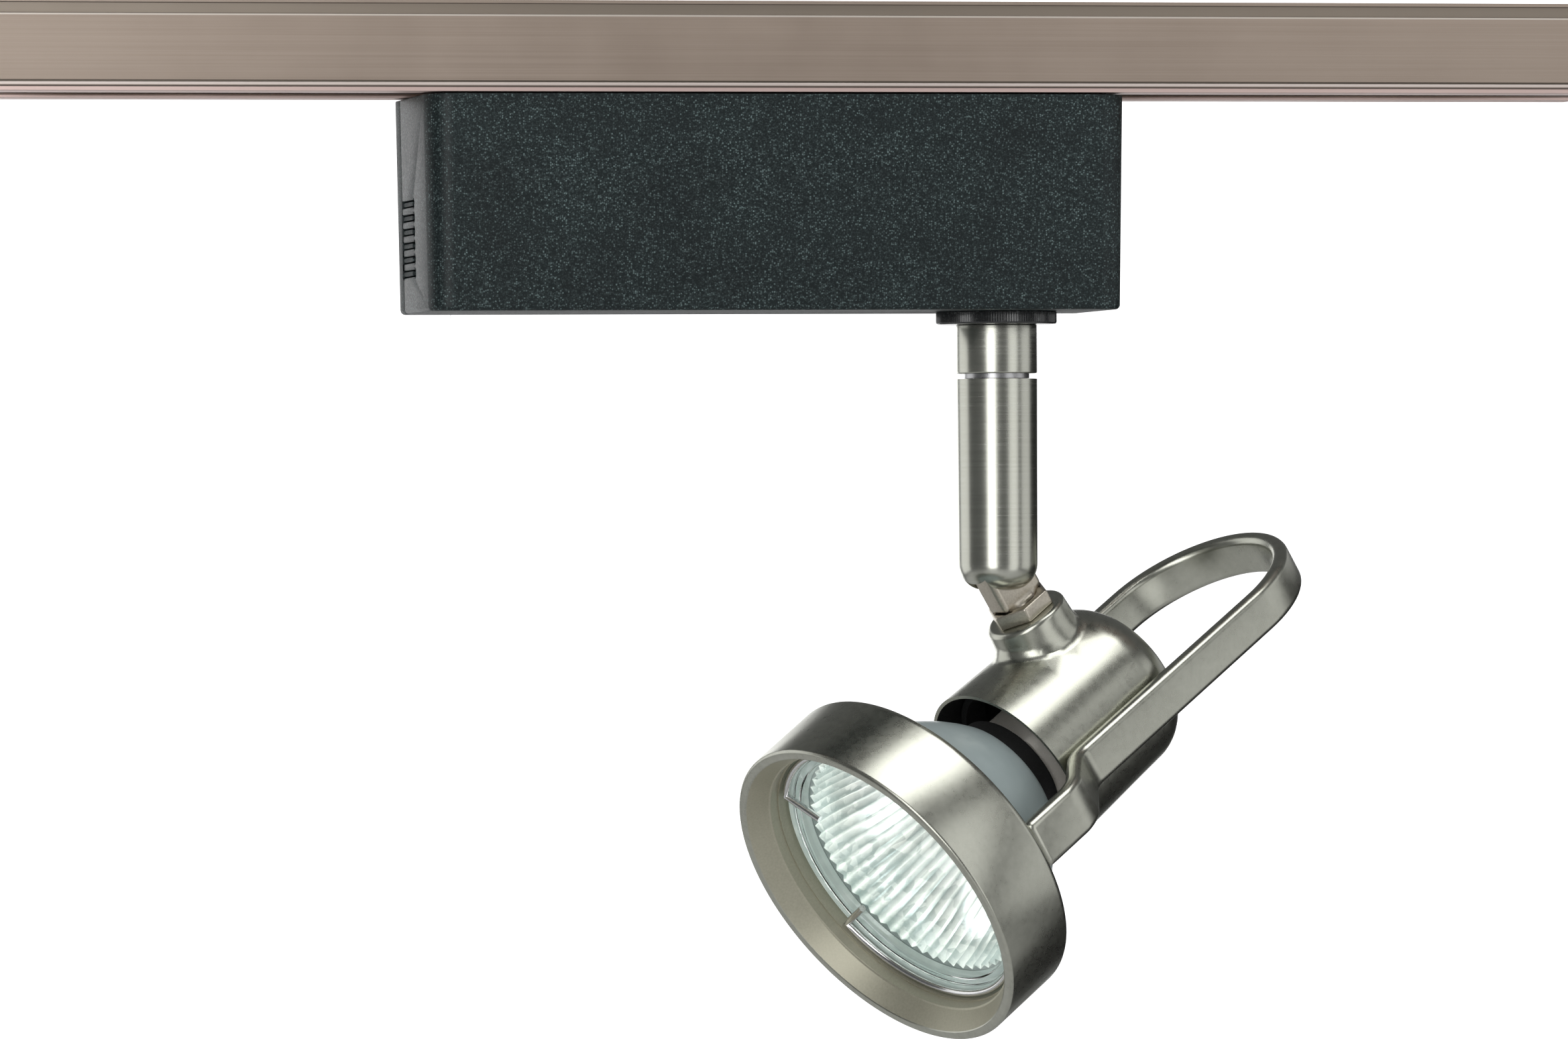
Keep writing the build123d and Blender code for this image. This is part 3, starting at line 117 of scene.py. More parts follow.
# ---------------------------------------------------------------- shader graphs
class Graph:
    """A node tree with short calls for adding and joining nodes."""

    def __init__(self, tree: bpy.types.NodeTree) -> None:
        """Wrap a tree.

        Args:
            tree: the material's or the group's node tree.
        """
        self.tree = tree

    def add(self, kind: str, settings: dict | None = None, **inputs: object) -> bpy.types.Node:
        """Add a node, set it and feed it.

        Args:
            kind: the node's type name.
            settings: properties of the node itself.
            inputs: values or output sockets by input name, with _ for a space.

        Returns:
            The new node.
        """
        node = self.tree.nodes.new(kind)
        for key, value in (settings or {}).items():
            setattr(node, key, value)
        for key, value in inputs.items():
            self.feed(node.inputs[key.replace("_", " ")], value)
        return node

    def feed(self, socket: bpy.types.NodeSocket, value: object) -> None:
        """Link an output socket to an input, or set the input's own value."""
        if isinstance(value, bpy.types.NodeSocket):
            self.tree.links.new(value, socket)
        else:
            socket.default_value = value

    def maths(self, operation: str, first: object, second: object = 0.0,
              clamp: bool = False) -> bpy.types.NodeSocket:
        """A Math node.

        Args:
            operation: the node's operation.
            first: its first input.
            second: its second input.
            clamp: whether the result is kept within 0 and 1.

        Returns:
            The result's socket.
        """
        node = self.tree.nodes.new("ShaderNodeMath")
        node.operation = operation
        node.use_clamp = clamp
        self.feed(node.inputs[0], first)
        self.feed(node.inputs[1], second)
        return node.outputs[0]

    def spread(self, value: object, low: float, high: float, to_low: float,
               to_high: float) -> bpy.types.NodeSocket:
        """Carry a value from one range to another, clamped.

        Args:
            value: the socket to read.
            low: the range's start.
            high: the range's end.
            to_low: the result at the start.
            to_high: the result at the end.

        Returns:
            The result's socket.
        """
        node = self.tree.nodes.new("ShaderNodeMapRange")
        for index, entry in enumerate((value, low, high, to_low, to_high)):
            self.feed(node.inputs[index], entry)
        return node.outputs[0]

    def tint(self, mask: object, dark: tuple, light: tuple) -> bpy.types.NodeSocket:
        """Mix two colours by a mask.

        Args:
            mask: the factor's socket.
            dark: the colour at 0.
            light: the colour at 1.

        Returns:
            The colour's socket.
        """
        node = self.tree.nodes.new("ShaderNodeMix")
        node.data_type = "RGBA"
        self.feed(node.inputs[0], mask)
        self.feed(node.inputs[6], (*dark, 1.0) if isinstance(dark, tuple) else dark)
        self.feed(node.inputs[7], (*light, 1.0) if isinstance(light, tuple) else light)
        return node.outputs[2]


def shader_group(name: str, inputs: dict[str, float], outputs: dict[str, str],
                 fill: Callable[[Graph, dict, dict], None]) -> bpy.types.NodeTree:
    """A shared effect as a node group.

    Args:
        name: the group's name.
        inputs: number inputs and their values when nothing feeds them.
        outputs: output names and their socket types.
        fill: builds the inside, given the graph, its input sockets and its output sockets.

    Returns:
        The group's tree.
    """
    tree = bpy.data.node_groups.new(name, "ShaderNodeTree")
    for key, value in inputs.items():
        socket = tree.interface.new_socket(name=key, in_out="INPUT", socket_type="NodeSocketFloat")
        socket.default_value = value
    for key, kind in outputs.items():
        tree.interface.new_socket(name=key, in_out="OUTPUT", socket_type=kind)
    graph = Graph(tree)
    source, sink = graph.add("NodeGroupInput"), graph.add("NodeGroupOutput")
    fill(graph, {key: source.outputs[key] for key in inputs}, {key: sink.inputs[key] for key in outputs})
    return tree


def fill_grain(graph: Graph, given: dict, wanted: dict) -> None:
    """Brushed streaks: noise squeezed along one direction and drawn out along the others.

    Args:
        graph: the group's graph.
        given: Stretch X, Y and Z, in waves per metre.
        wanted: the Streak mask, and the Cloud mask for slow changes of tone.
    """
    place = graph.add("ShaderNodeTexCoord").outputs["Object"]
    stretch = graph.add("ShaderNodeCombineXYZ", **{axis: given[f"Stretch {axis}"] for axis in "XYZ"})
    squeezed = graph.add("ShaderNodeVectorMath", {"operation": "MULTIPLY"})
    graph.feed(squeezed.inputs[0], place)
    graph.feed(squeezed.inputs[1], stretch.outputs[0])
    streak = graph.add("ShaderNodeTexNoise", Vector=squeezed.outputs[0], Scale=1.0, Detail=4.0, Roughness=0.6)
    cloud = graph.add("ShaderNodeTexNoise", Vector=place, Scale=55.0, Detail=3.0, Roughness=0.5)
    graph.feed(wanted["Streak"], streak.outputs[0])
    graph.feed(wanted["Cloud"], cloud.outputs[0])


def fill_sparkle(graph: Graph, given: dict, wanted: dict) -> None:
    """The fine pits of spark-eroded plastic, with sparse bright grains among them.

    Args:
        graph: the group's graph.
        given: Fineness, in grains per metre, and Sparse, the share of grains left dark.
        wanted: the Grain mask, the Pits height and the Cloud mask.
    """
    place = graph.add("ShaderNodeTexCoord").outputs["Object"]
    pits = graph.add("ShaderNodeTexNoise", Vector=place, Scale=given["Fineness"], Detail=2.0, Roughness=0.8)
    cells = graph.add("ShaderNodeTexVoronoi", {"feature": "F1"}, Vector=place, Scale=given["Fineness"])
    lucky = graph.add("ShaderNodeSeparateColor", Color=cells.outputs["Color"])
    chosen = graph.spread(lucky.outputs[0], given["Sparse"], 1.0, 0.0, 1.0)
    near = graph.spread(cells.outputs["Distance"], 0.15, 0.6, 1.0, 0.0)
    mottle = graph.spread(pits.outputs[0], 0.5, 0.75, 0.0, 0.28)
    cloud = graph.add("ShaderNodeTexNoise", Vector=place, Scale=60.0, Detail=5.0, Roughness=0.65)
    patchy = graph.spread(cloud.outputs[0], 0.35, 0.65, 0.5, 1.0)
    grain = graph.maths("ADD", graph.maths("MULTIPLY", chosen, near), mottle)
    graph.feed(wanted["Grain"], graph.maths("MULTIPLY", grain, patchy, clamp=True))
    graph.feed(wanted["Pits"], pits.outputs[0])
    graph.feed(wanted["Cloud"], cloud.outputs[0])


GRAIN = shader_group("brushed_grain", {"Stretch X": 900.0, "Stretch Y": 900.0, "Stretch Z": 900.0},
                     {"Streak": "NodeSocketFloat", "Cloud": "NodeSocketFloat"}, fill_grain)
SPARKLE = shader_group("moulded_sparkle", {"Fineness": 3000.0, "Sparse": 0.6},
                       {"Grain": "NodeSocketFloat", "Pits": "NodeSocketFloat", "Cloud": "NodeSocketFloat"},
                       fill_sparkle)


def new_material(name: str) -> tuple[bpy.types.Material, Graph, bpy.types.Node]:
    """An empty material with a Principled shader.

    Args:
        name: the material's name.

    Returns:
        The material, its graph and its Principled node.
    """
    material = bpy.data.materials.new(name)
    material.use_nodes = True
    return material, Graph(material.node_tree), material.node_tree.nodes["Principled BSDF"]


class Lay(Enum):
    """The direction in which a metal's fine lines run, as waves per metre along X, Y and Z."""

    ALONG_TRACK = (14.0, 4200.0, 4200.0)
    ROUND_STEM = (60.0, 60.0, 3600.0)
    TUMBLED = (2600.0, 2600.0, 2600.0)
    CAST = (700.0, 700.0, 700.0)


@dataclass(frozen=True)
class Metal:
    """A plated, brushed or drawn metal."""

    name: str
    dark: tuple[float, float, float]
    light: tuple[float, float, float]
    smooth: float
    rough: float
    lay: Lay
    relief: float = 0.05
    metallic: float = 1.0

    def make(self) -> bpy.types.Material:
        """Build the material.

        Returns:
            The material: streaks in colour, roughness and relief.
        """
        material, graph, shader = new_material(self.name)
        grain = graph.add("ShaderNodeGroup", {"node_tree": GRAIN})
        for axis, waves in zip("XYZ", self.lay.value):
            grain.inputs[f"Stretch {axis}"].default_value = waves
        streak, cloud = grain.outputs["Streak"], grain.outputs["Cloud"]
        blend = graph.maths("ADD", graph.maths("MULTIPLY", streak, 0.6), graph.maths("MULTIPLY", cloud, 0.4))
        tone = graph.spread(blend, 0.35, 0.65, 0.0, 1.0)
        graph.feed(shader.inputs["Base Color"], graph.tint(tone, self.dark, self.light))
        graph.feed(shader.inputs["Roughness"], graph.spread(blend, 0.3, 0.7, self.smooth, self.rough))
        bump = graph.add("ShaderNodeBump", Height=streak, Strength=self.relief, Distance=0.00005)
        graph.feed(shader.inputs["Normal"], bump.outputs[0])
        shader.inputs["Metallic"].default_value = self.metallic
        return material


@dataclass(frozen=True)
class Band:
    """A strip of painted shade or painted highlight between two heights, in millimetres."""

    low: float
    high: float
    tone: tuple[float, float, float]


@dataclass(frozen=True)
class BandedMetal(Metal):
    """A lacquered extrusion with painted shade in its grooves and painted highlights on its beads and lip."""

    bands: tuple[Band, ...] = ()
    band_edge: float = 0.06

    def make(self) -> bpy.types.Material:
        """Build the material.

        Returns:
            The metal, with each band's painted shade or painted highlight laid over it by height.
        """
        material = super().make()
        graph = Graph(material.node_tree)
        shader = material.node_tree.nodes["Principled BSDF"]
        colour = shader.inputs["Base Color"].links[0].from_socket
        place = graph.add("ShaderNodeTexCoord").outputs["Object"]
        height = graph.add("ShaderNodeSeparateXYZ", Vector=place).outputs["Z"]
        soft = self.band_edge * MM
        # Each band lays painted shade or a painted highlight over the metal's own colour.
        for band in self.bands:
            above = graph.spread(height, band.low * MM - soft, band.low * MM + soft, 0.0, 1.0)
            below = graph.spread(height, band.high * MM - soft, band.high * MM + soft, 1.0, 0.0)
            colour = graph.tint(graph.maths("MULTIPLY", above, below), colour, band.tone)
        graph.feed(shader.inputs["Base Color"], colour)
        return material


@dataclass(frozen=True)
class Moulding:
    """A moulded plastic or ceramic, with pits and sparse bright grains."""

    name: str
    dark: tuple[float, float, float]
    light: tuple[float, float, float]
    grain: tuple[float, float, float]
    smooth: float
    rough: float
    fineness: float = 2600.0
    sparse: float = 0.62
    relief: float = 0.25
    coat: float = 0.0
    sheen: float = 0.5
    glow: float = 0.0

    def make(self) -> bpy.types.Material:
        """Build the material.

        Returns:
            The material: clouded colour, bright grains, pitted relief.
        """
        material, graph, shader = new_material(self.name)
        sparkle = graph.add("ShaderNodeGroup", {"node_tree": SPARKLE}, Fineness=self.fineness,
                            Sparse=self.sparse)
        cloud = graph.spread(sparkle.outputs["Cloud"], 0.3, 0.7, 0.0, 1.0)
        body = graph.tint(cloud, self.dark, self.light)
        graph.feed(shader.inputs["Base Color"], graph.tint(sparkle.outputs["Grain"], body, self.grain))
        pits = sparkle.outputs["Pits"]
        graph.feed(shader.inputs["Roughness"], graph.spread(pits, 0.3, 0.7, self.smooth, self.rough))
        bump = graph.add("ShaderNodeBump", Height=pits, Strength=self.relief, Distance=0.00008)
        graph.feed(shader.inputs["Normal"], bump.outputs[0])
        shader.inputs["Coat Weight"].default_value = self.coat
        shader.inputs["Specular IOR Level"].default_value = self.sheen
        shader.inputs["Emission Color"].default_value = (*self.light, 1.0)
        shader.inputs["Emission Strength"].default_value = self.glow
        return material


@dataclass(frozen=True)
class ClearGlass:
    """Clear glass with faint waves."""

    name: str
    tint: tuple[float, float, float]
    roughness: float = 0.02

    def make(self) -> bpy.types.Material:
        """Build the material.

        Returns:
            The material, transparent all through.
        """
        material, graph, shader = new_material(self.name)
        place = graph.add("ShaderNodeTexCoord").outputs["Object"]
        waves = graph.add("ShaderNodeTexNoise", Vector=place, Scale=180.0, Detail=2.0)
        colour = graph.tint(waves.outputs[0], self.tint, (1.0, 1.0, 1.0))
        graph.feed(shader.inputs["Base Color"], colour)
        bump = graph.add("ShaderNodeBump", Height=waves.outputs[0], Strength=0.05, Distance=0.0001)
        graph.feed(shader.inputs["Normal"], bump.outputs[0])
        shader.inputs["Roughness"].default_value = self.roughness
        shader.inputs["Transmission Weight"].default_value = 1.0
        shader.inputs["IOR"].default_value = 1.47
        return material


@dataclass(frozen=True)
class LitReflector:
    """The fluted coating inside the lamp, bright with the lamp's own light."""

    name: str
    shade: tuple[float, float, float]
    bright: tuple[float, float, float]
    strength: float
    flute_share: float = 0.46
    facet_share: float = 0.32
    depth_share: float = 0.55
    coating: tuple[tuple[float, float, float], ...] = ((0.50, 0.56, 0.56), (0.80, 0.84, 0.83))

    def make(self) -> bpy.types.Material:
        """Build the material.

        Returns:
            The material: the flutes' own mask sets how brightly each part glows.
        """
        material, graph, shader = new_material(self.name)
        flute = graph.add("ShaderNodeAttribute", {"attribute_name": "flute"}).outputs["Fac"]
        depth = graph.add("ShaderNodeAttribute", {"attribute_name": "depth"}).outputs["Fac"]
        place = graph.add("ShaderNodeTexCoord").outputs["Object"]
        facets = graph.add("ShaderNodeTexVoronoi", {"feature": "F1"}, Vector=place, Scale=760.0)
        facet = graph.add("ShaderNodeSeparateColor", Color=facets.outputs["Color"]).outputs[0]
        ripple = graph.add("ShaderNodeTexNoise", Vector=place, Scale=900.0, Detail=2.0).outputs[0]
        lines = graph.maths("ADD", graph.maths("MULTIPLY", flute, self.flute_share),
                            graph.maths("MULTIPLY", facet, self.facet_share))
        mixed = graph.maths("ADD", lines, graph.maths("MULTIPLY", depth, self.depth_share))
        glow = graph.tint(graph.spread(mixed, 0.22, 0.95, 0.0, 1.0), self.shade, self.bright)
        graph.feed(shader.inputs["Emission Color"], glow)
        graph.feed(shader.inputs["Base Color"], graph.tint(ripple, *self.coating))
        shader.inputs["Emission Strength"].default_value = self.strength
        shader.inputs["Metallic"].default_value = 0.85
        shader.inputs["Roughness"].default_value = 0.2
        return material


# Painted light on the track, laid by height: the dark bands are painted shade in the grooves and on the strip
# between the top grooves; the light bands are painted highlights on the beads and on the lower lip.
GROOVE_SHADE = (0.12, 0.10, 0.08)
TRACK_SHADE_AND_HIGHLIGHT_BANDS = (
    Band(-0.72, -0.55, GROOVE_SHADE),
    Band(-2.3, -0.72, (0.245, 0.205, 0.165)),
    Band(-2.45, -2.3, GROOVE_SHADE),
    Band(-2.7, -2.45, (0.62, 0.56, 0.50)),
    Band(-13.65, -13.35, GROOVE_SHADE),
    Band(-14.1, -13.65, (0.66, 0.58, 0.54)),
    Band(-14.45, -14.2, (0.10, 0.08, 0.07)),
    Band(-16.0, -14.45, (0.68, 0.52, 0.48)),
)


class Finish(Enum):
    """Every finish on the fixture."""

    TRACK = BandedMetal("track_lacquer", (0.323, 0.258, 0.210), (0.382, 0.310, 0.256), 0.38, 0.5,
                        Lay.ALONG_TRACK, 0.12, 0.45, TRACK_SHADE_AND_HIGHLIGHT_BANDS)
    NICKEL = Metal("satin_nickel", (0.415, 0.420, 0.365), (0.495, 0.502, 0.440), 0.25, 0.32, Lay.CAST,
                   0.015)
    STEM_NICKEL = Metal("satin_nickel_turned", (0.50, 0.505, 0.445), (0.56, 0.565, 0.505), 0.22, 0.29,
                        Lay.ROUND_STEM, 0.04)
    BORE = Metal("bead_blasted_bore", (0.40, 0.385, 0.300), (0.49, 0.475, 0.380), 0.4, 0.52, Lay.TUMBLED,
                 0.1, 0.6)
    KNUCKLE = Metal("tumbled_knuckle", (0.46, 0.42, 0.35), (0.62, 0.58, 0.50), 0.28, 0.42, Lay.TUMBLED,
                    0.15)
    STEEL = Metal("plated_steel", (0.42, 0.42, 0.43), (0.56, 0.56, 0.57), 0.25, 0.4, Lay.TUMBLED, 0.1)
    BRIGHT = Metal("bright_steel", (0.62, 0.62, 0.62), (0.78, 0.78, 0.78), 0.1, 0.2, Lay.TUMBLED, 0.03)
    COPPER = Metal("drawn_copper", (0.60, 0.30, 0.17), (0.74, 0.42, 0.26), 0.2, 0.35, Lay.ALONG_TRACK,
                   0.1)
    ALUMINIUM = Metal("extruded_aluminium", (0.58, 0.58, 0.59), (0.72, 0.72, 0.73), 0.28, 0.42,
                      Lay.ROUND_STEM, 0.1)
    HOUSING = Moulding("spark_black_plastic", (0.003, 0.007, 0.008), (0.006, 0.013, 0.014),
                       (0.18, 0.25, 0.25), 0.36, 0.6, 3100.0, 0.55, 0.3, 0.0, 0.3)
    ADAPTER = Moulding("smooth_black_plastic", (0.012, 0.013, 0.013), (0.02, 0.02, 0.02),
                       (0.04, 0.04, 0.04), 0.3, 0.4)
    COLLAR = Moulding("gloss_black_plastic", (0.008, 0.009, 0.010), (0.016, 0.017, 0.018),
                      (0.09, 0.10, 0.10), 0.16, 0.3, 1500.0, 0.8, 0.1, 0.3)
    LINER = Moulding("matt_black_liner", (0.006, 0.006, 0.006), (0.012, 0.012, 0.012), (0.02, 0.02, 0.02),
                     0.6, 0.8)
    INSULATOR = Moulding("ivory_insulator", (0.62, 0.60, 0.54), (0.70, 0.68, 0.62), (0.75, 0.73, 0.68),
                         0.4, 0.5)
    BOARD = Moulding("green_laminate", (0.02, 0.11, 0.045), (0.03, 0.16, 0.06), (0.10, 0.30, 0.14), 0.3,
                     0.45)
    TERMINAL = Moulding("green_terminal", (0.03, 0.20, 0.09), (0.04, 0.26, 0.12), (0.1, 0.35, 0.2), 0.35,
                        0.5)
    FERRITE = Moulding("ferrite_grey", (0.018, 0.018, 0.02), (0.035, 0.035, 0.037), (0.08, 0.08, 0.08),
                       0.5, 0.7)
    CAPACITOR = Moulding("dipped_orange", (0.55, 0.20, 0.04), (0.68, 0.28, 0.06), (0.8, 0.4, 0.15), 0.2,
                         0.35)
    WINDING = Moulding("enamelled_wire", (0.35, 0.10, 0.03), (0.50, 0.17, 0.05), (0.75, 0.35, 0.15), 0.2,
                       0.35)
    CERAMIC = Moulding("steatite", (0.66, 0.63, 0.56), (0.76, 0.73, 0.67), (0.85, 0.83, 0.78), 0.4, 0.55)
    LAMP_BACK = Moulding("coated_lamp_back", (0.33, 0.395, 0.395), (0.39, 0.46, 0.46), (0.40, 0.47, 0.47),
                         0.3, 0.4, 300.0, 0.6, 0.02, 0.2)
    RIM_GLASS = Moulding("pressed_rim_glass", (0.42, 0.52, 0.49), (0.60, 0.70, 0.66), (0.80, 0.88, 0.84),
                         0.06, 0.14, 300.0, 0.5, 0.15, 0.8, 0.5, 0.22)
    FRONT_GLASS = ClearGlass("front_glass", (0.93, 0.98, 0.97))
    BURNER_GLASS = ClearGlass("burner_quartz", (0.99, 0.98, 0.95), 0.05)
    REFLECTOR = LitReflector("lit_flutes", (0.10, 0.14, 0.125), (1.0, 1.0, 0.92), 0.94)

    @property
    def material(self) -> bpy.types.Material:
        """The finish's material, made the first time it is asked for."""
        if self not in MADE:
            MADE[self] = self.value.make()
        return MADE[self]


MADE: dict[Finish, bpy.types.Material] = {}


# ---------------------------------------------------------------- mesh work
class Shape:
    """A bmesh on the way to becoming a finished piece."""

    def __init__(self) -> None:
        """Start empty."""
        self.mesh = bmesh.new()

    def path(self, points: Iterable[tuple[float, ...]]) -> list[bmesh.types.BMVert]:
        """Add a chain of edges.

        Args:
            points: millimetre points; only the first three numbers of each are used.

        Returns:
            The chain's vertices, before rounding.
        """
        chain = [self.mesh.verts.new(Vector(point[:3]) * MM) for point in points]
        for first, second in zip(chain, chain[1:]):
            self.mesh.edges.new((first, second))
        return chain

    def turn(self, profile: list[tuple[float, ...]], steps: int = TURN_STEPS) -> "Shape":
        """Turn a profile about the local z axis.

        Args:
            profile: (radius, height) or (radius, height, rounding) in millimetres, ends closed by repeating
                the first point or by lying on the axis.
            steps: faces round the axis.

        Returns:
            This shape.
        """
        corners = [(r, 0.0, h) for r, h, *_ in profile]
        closed = corners[0] == corners[-1]
        chain = self.path(corners[:-1] if closed else corners)
        if closed:
            self.mesh.edges.new((chain[-1], chain[0]))
        for vertex, (_, _, *rounding) in zip(chain, profile):
            if rounding:
                bmesh.ops.bevel(self.mesh, geom=[vertex], offset=rounding[0] * MM, segments=CORNER_STEPS,
                                profile=0.5, affect="VERTICES", material=-1)
        outline = self.mesh.verts[:] + self.mesh.edges[:]
        bmesh.ops.spin(self.mesh, geom=outline, cent=(0, 0, 0), axis=(0, 0, 1), angle=math.tau, steps=steps,
                       use_merge=True)
        bmesh.ops.remove_doubles(self.mesh, verts=self.mesh.verts, dist=WELD)
        bmesh.ops.recalc_face_normals(self.mesh, faces=self.mesh.faces)
        return self

    def soften(self, width: float, segments: int = 3, angle: float = SMOOTH_ANGLE) -> "Shape":
        """Bevel every edge sharper than an angle.

        Args:
            width: the bevel's width in millimetres.
            segments: its segments.
            angle: the smallest angle that counts as an edge.

        Returns:
            This shape.
        """
        sharp = [edge for edge in self.mesh.edges if edge.is_manifold and edge.calc_face_angle(0.0) > angle]
        bmesh.ops.bevel(self.mesh, geom=sharp, offset=width * MM, segments=segments, profile=0.5,
                        affect="EDGES", material=-1, clamp_overlap=False)
        return self

    def finish(self, name: str, body: str, finish: Finish, replaces: Iterable[str] = (),
               place: Matrix | None = None) -> bpy.types.Object:
        """Make the object, smooth it, dress it and hang it on its body.

        Args:
            name: the piece's name.
            body: the body that it rides on.
            finish: its finish.
            replaces: the CAD nodes that it stands for.
            place: the matrix from the shape's own frame to the object's.

        Returns:
            The finished object.
        """
        if place is not None:
            bmesh.ops.transform(self.mesh, matrix=place, verts=self.mesh.verts)
        for face in self.mesh.faces:
            face.smooth = True
        for edge in self.mesh.edges:
            edge.smooth = edge.calc_face_angle(0.0) < SMOOTH_ANGLE if edge.is_manifold else True
        data = bpy.data.meshes.new(name)
        self.mesh.to_mesh(data)
        self.mesh.free()
        data.materials.append(finish.material)
        piece = bpy.data.objects.new(name, data)
        bpy.context.scene.collection.objects.link(piece)
        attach(piece, body)
        if replaces:
            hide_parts(*replaces)
            slot_of(next(iter(replaces)))
        log.info("%s: %d faces on %s", name, len(data.polygons), body)
        return piece


def line_with(piece: bpy.types.Object, finish: Finish, radius: float, start: float, end: float) -> None:
    """Give the inside of a piece that is turned on the lamp's axis a finish of its own.

    Args:
        piece: the finished piece.
        finish: the finish of its inside.
        radius: faces nearer the axis than this many millimetres take it,
        start: from this distance behind the ring's front
        end: to this one.
    """
    piece.data.materials.append(finish.material)
    to_local = head_datum().matrix().inverted()
    for face in piece.data.polygons:
        place = (to_local @ face.center) / MM
        normal = to_local.to_3x3() @ face.normal
        facing_in = normal.xy.dot(place.xy) < 0 or normal.z < -FACES_FORWARD
        face.material_index = int(facing_in and place.xy.length < radius and start < place.z < end)


def slot_of(node: str) -> str:
    """The record's material slot of a CAD node."""
    return next(entry["material_slot"] for entry in frame["record"]["subparts"] if entry["node"] == node)


def copy_of(node: str) -> Shape:
    """A merged copy of a CAD node's mesh, as a shape to refine.

    Args:
        node: the CAD node's name.

    Returns:
        The copy, with flat regions joined into single faces.
    """
    shape = Shape()
    shape.mesh.from_mesh(frame["nodes"][node].data)
    bmesh.ops.remove_doubles(shape.mesh, verts=shape.mesh.verts, dist=COPY_WELD)
    bmesh.ops.dissolve_limit(shape.mesh, angle_limit=math.radians(0.5), verts=shape.mesh.verts,
                             edges=shape.mesh.edges)
    return shape


def dress(finish: Finish, *nodes: str) -> None:
    """Give CAD nodes whose shape is right a better material.

    Args:
        finish: the finish.
        nodes: the nodes' names.
    """
    for node in nodes:
        data = frame["nodes"][node].data
        data.materials.clear()
        data.materials.append(finish.material)
        log.info("%s dressed in %s", node, finish.name)


# ---------------------------------------------------------------- sub-assemblies
@dataclass
class Track:
    """The ceiling track: a lacquered channel with insulated conductors."""

    edge: float = 0.08

    def build(self) -> None:
        """Dress the channel and what lies in it."""
        copy_of("track_channel").soften(self.edge).finish("channel", "track", Finish.TRACK, ["track_channel"])
        dress(Finish.INSULATOR, "track_insulator_front", "track_insulator_rear")
        dress(Finish.COPPER, "conductor_line", "conductor_neutral", "contact_blades", "ground_contact")
        dress(Finish.ADAPTER, "adapter_body", "track_lock_rotor")


@dataclass
class TransformerBox:
    """The black box: two textured shells, and the electronics behind the vents."""

    edge: float = 0.22
    reeds: int = 150
    collar_radius: float = 10.2
    collar_bore: float = 5.2
    reed_depth: float = 0.09
    reed_band: float = 0.1
    collar_rounds: tuple[float, float] = (0.25, 0.45)

    def build(self) -> None:
        """Build the shells and the collar, and dress the inside."""
        for node in ("housing_front_shell", "housing_back_cover"):
            copy_of(node).soften(self.edge).finish(f"{node}_moulding", "housing", Finish.HOUSING, [node])
        self.collar()
        dress(Finish.BOARD, "circuit_board")
        dress(Finish.FERRITE, "transformer_core", "power_transistors")
        dress(Finish.WINDING, "transformer_winding")
        dress(Finish.CAPACITOR, "capacitors")
        dress(Finish.ALUMINIUM, "heat_sink")
        dress(Finish.TERMINAL, "terminal_block")
        dress(Finish.STEEL, "cover_screws", "adapter_screws", "board_screws")

    def collar(self) -> None:
        """The gloss black collar, reeded on its rim."""
        low, high = (corner[2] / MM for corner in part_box("stem_collar"))
        top_round, bottom_round = self.collar_rounds
        profile = [(self.collar_bore, high), (self.collar_radius, high, top_round),
                   (self.collar_radius, low, bottom_round), (self.collar_bore, low), (self.collar_bore, high)]
        shape = Shape().turn(profile, 2 * self.reeds)
        for vertex in shape.mesh.verts:
            angle = math.atan2(vertex.co.y, vertex.co.x) * self.reeds
            radius = vertex.co.xy.length
            if radius > (self.collar_radius - self.reed_band) * MM:
                vertex.co.xy *= 1 - self.reed_depth * MM * (0.5 - 0.5 * math.cos(angle)) / radius
        shape.finish("reeded_collar", "housing", Finish.COLLAR, ["stem_collar"], stem_datum().matrix())


@dataclass
class Stem:
    """The swivel stem: the fixed stub, the turning tube and the knuckle's pin."""

    edge: float = 0.25

    def build(self) -> None:
        """Build the stub and the tube, and dress their nuts, washers and pin."""
        copy_of("stem_stub").soften(self.edge).finish("stub", "housing", Finish.STEM_NICKEL, ["stem_stub"])
        copy_of("stem_tube").finish("tube", "stem", Finish.STEM_NICKEL, ["stem_tube"])
        dress(Finish.STEEL, "stem_washer", "stem_nut", "swivel_nut", "swivel_washer")
        dress(Finish.BRIGHT, "pivot_pin", "friction_washers")


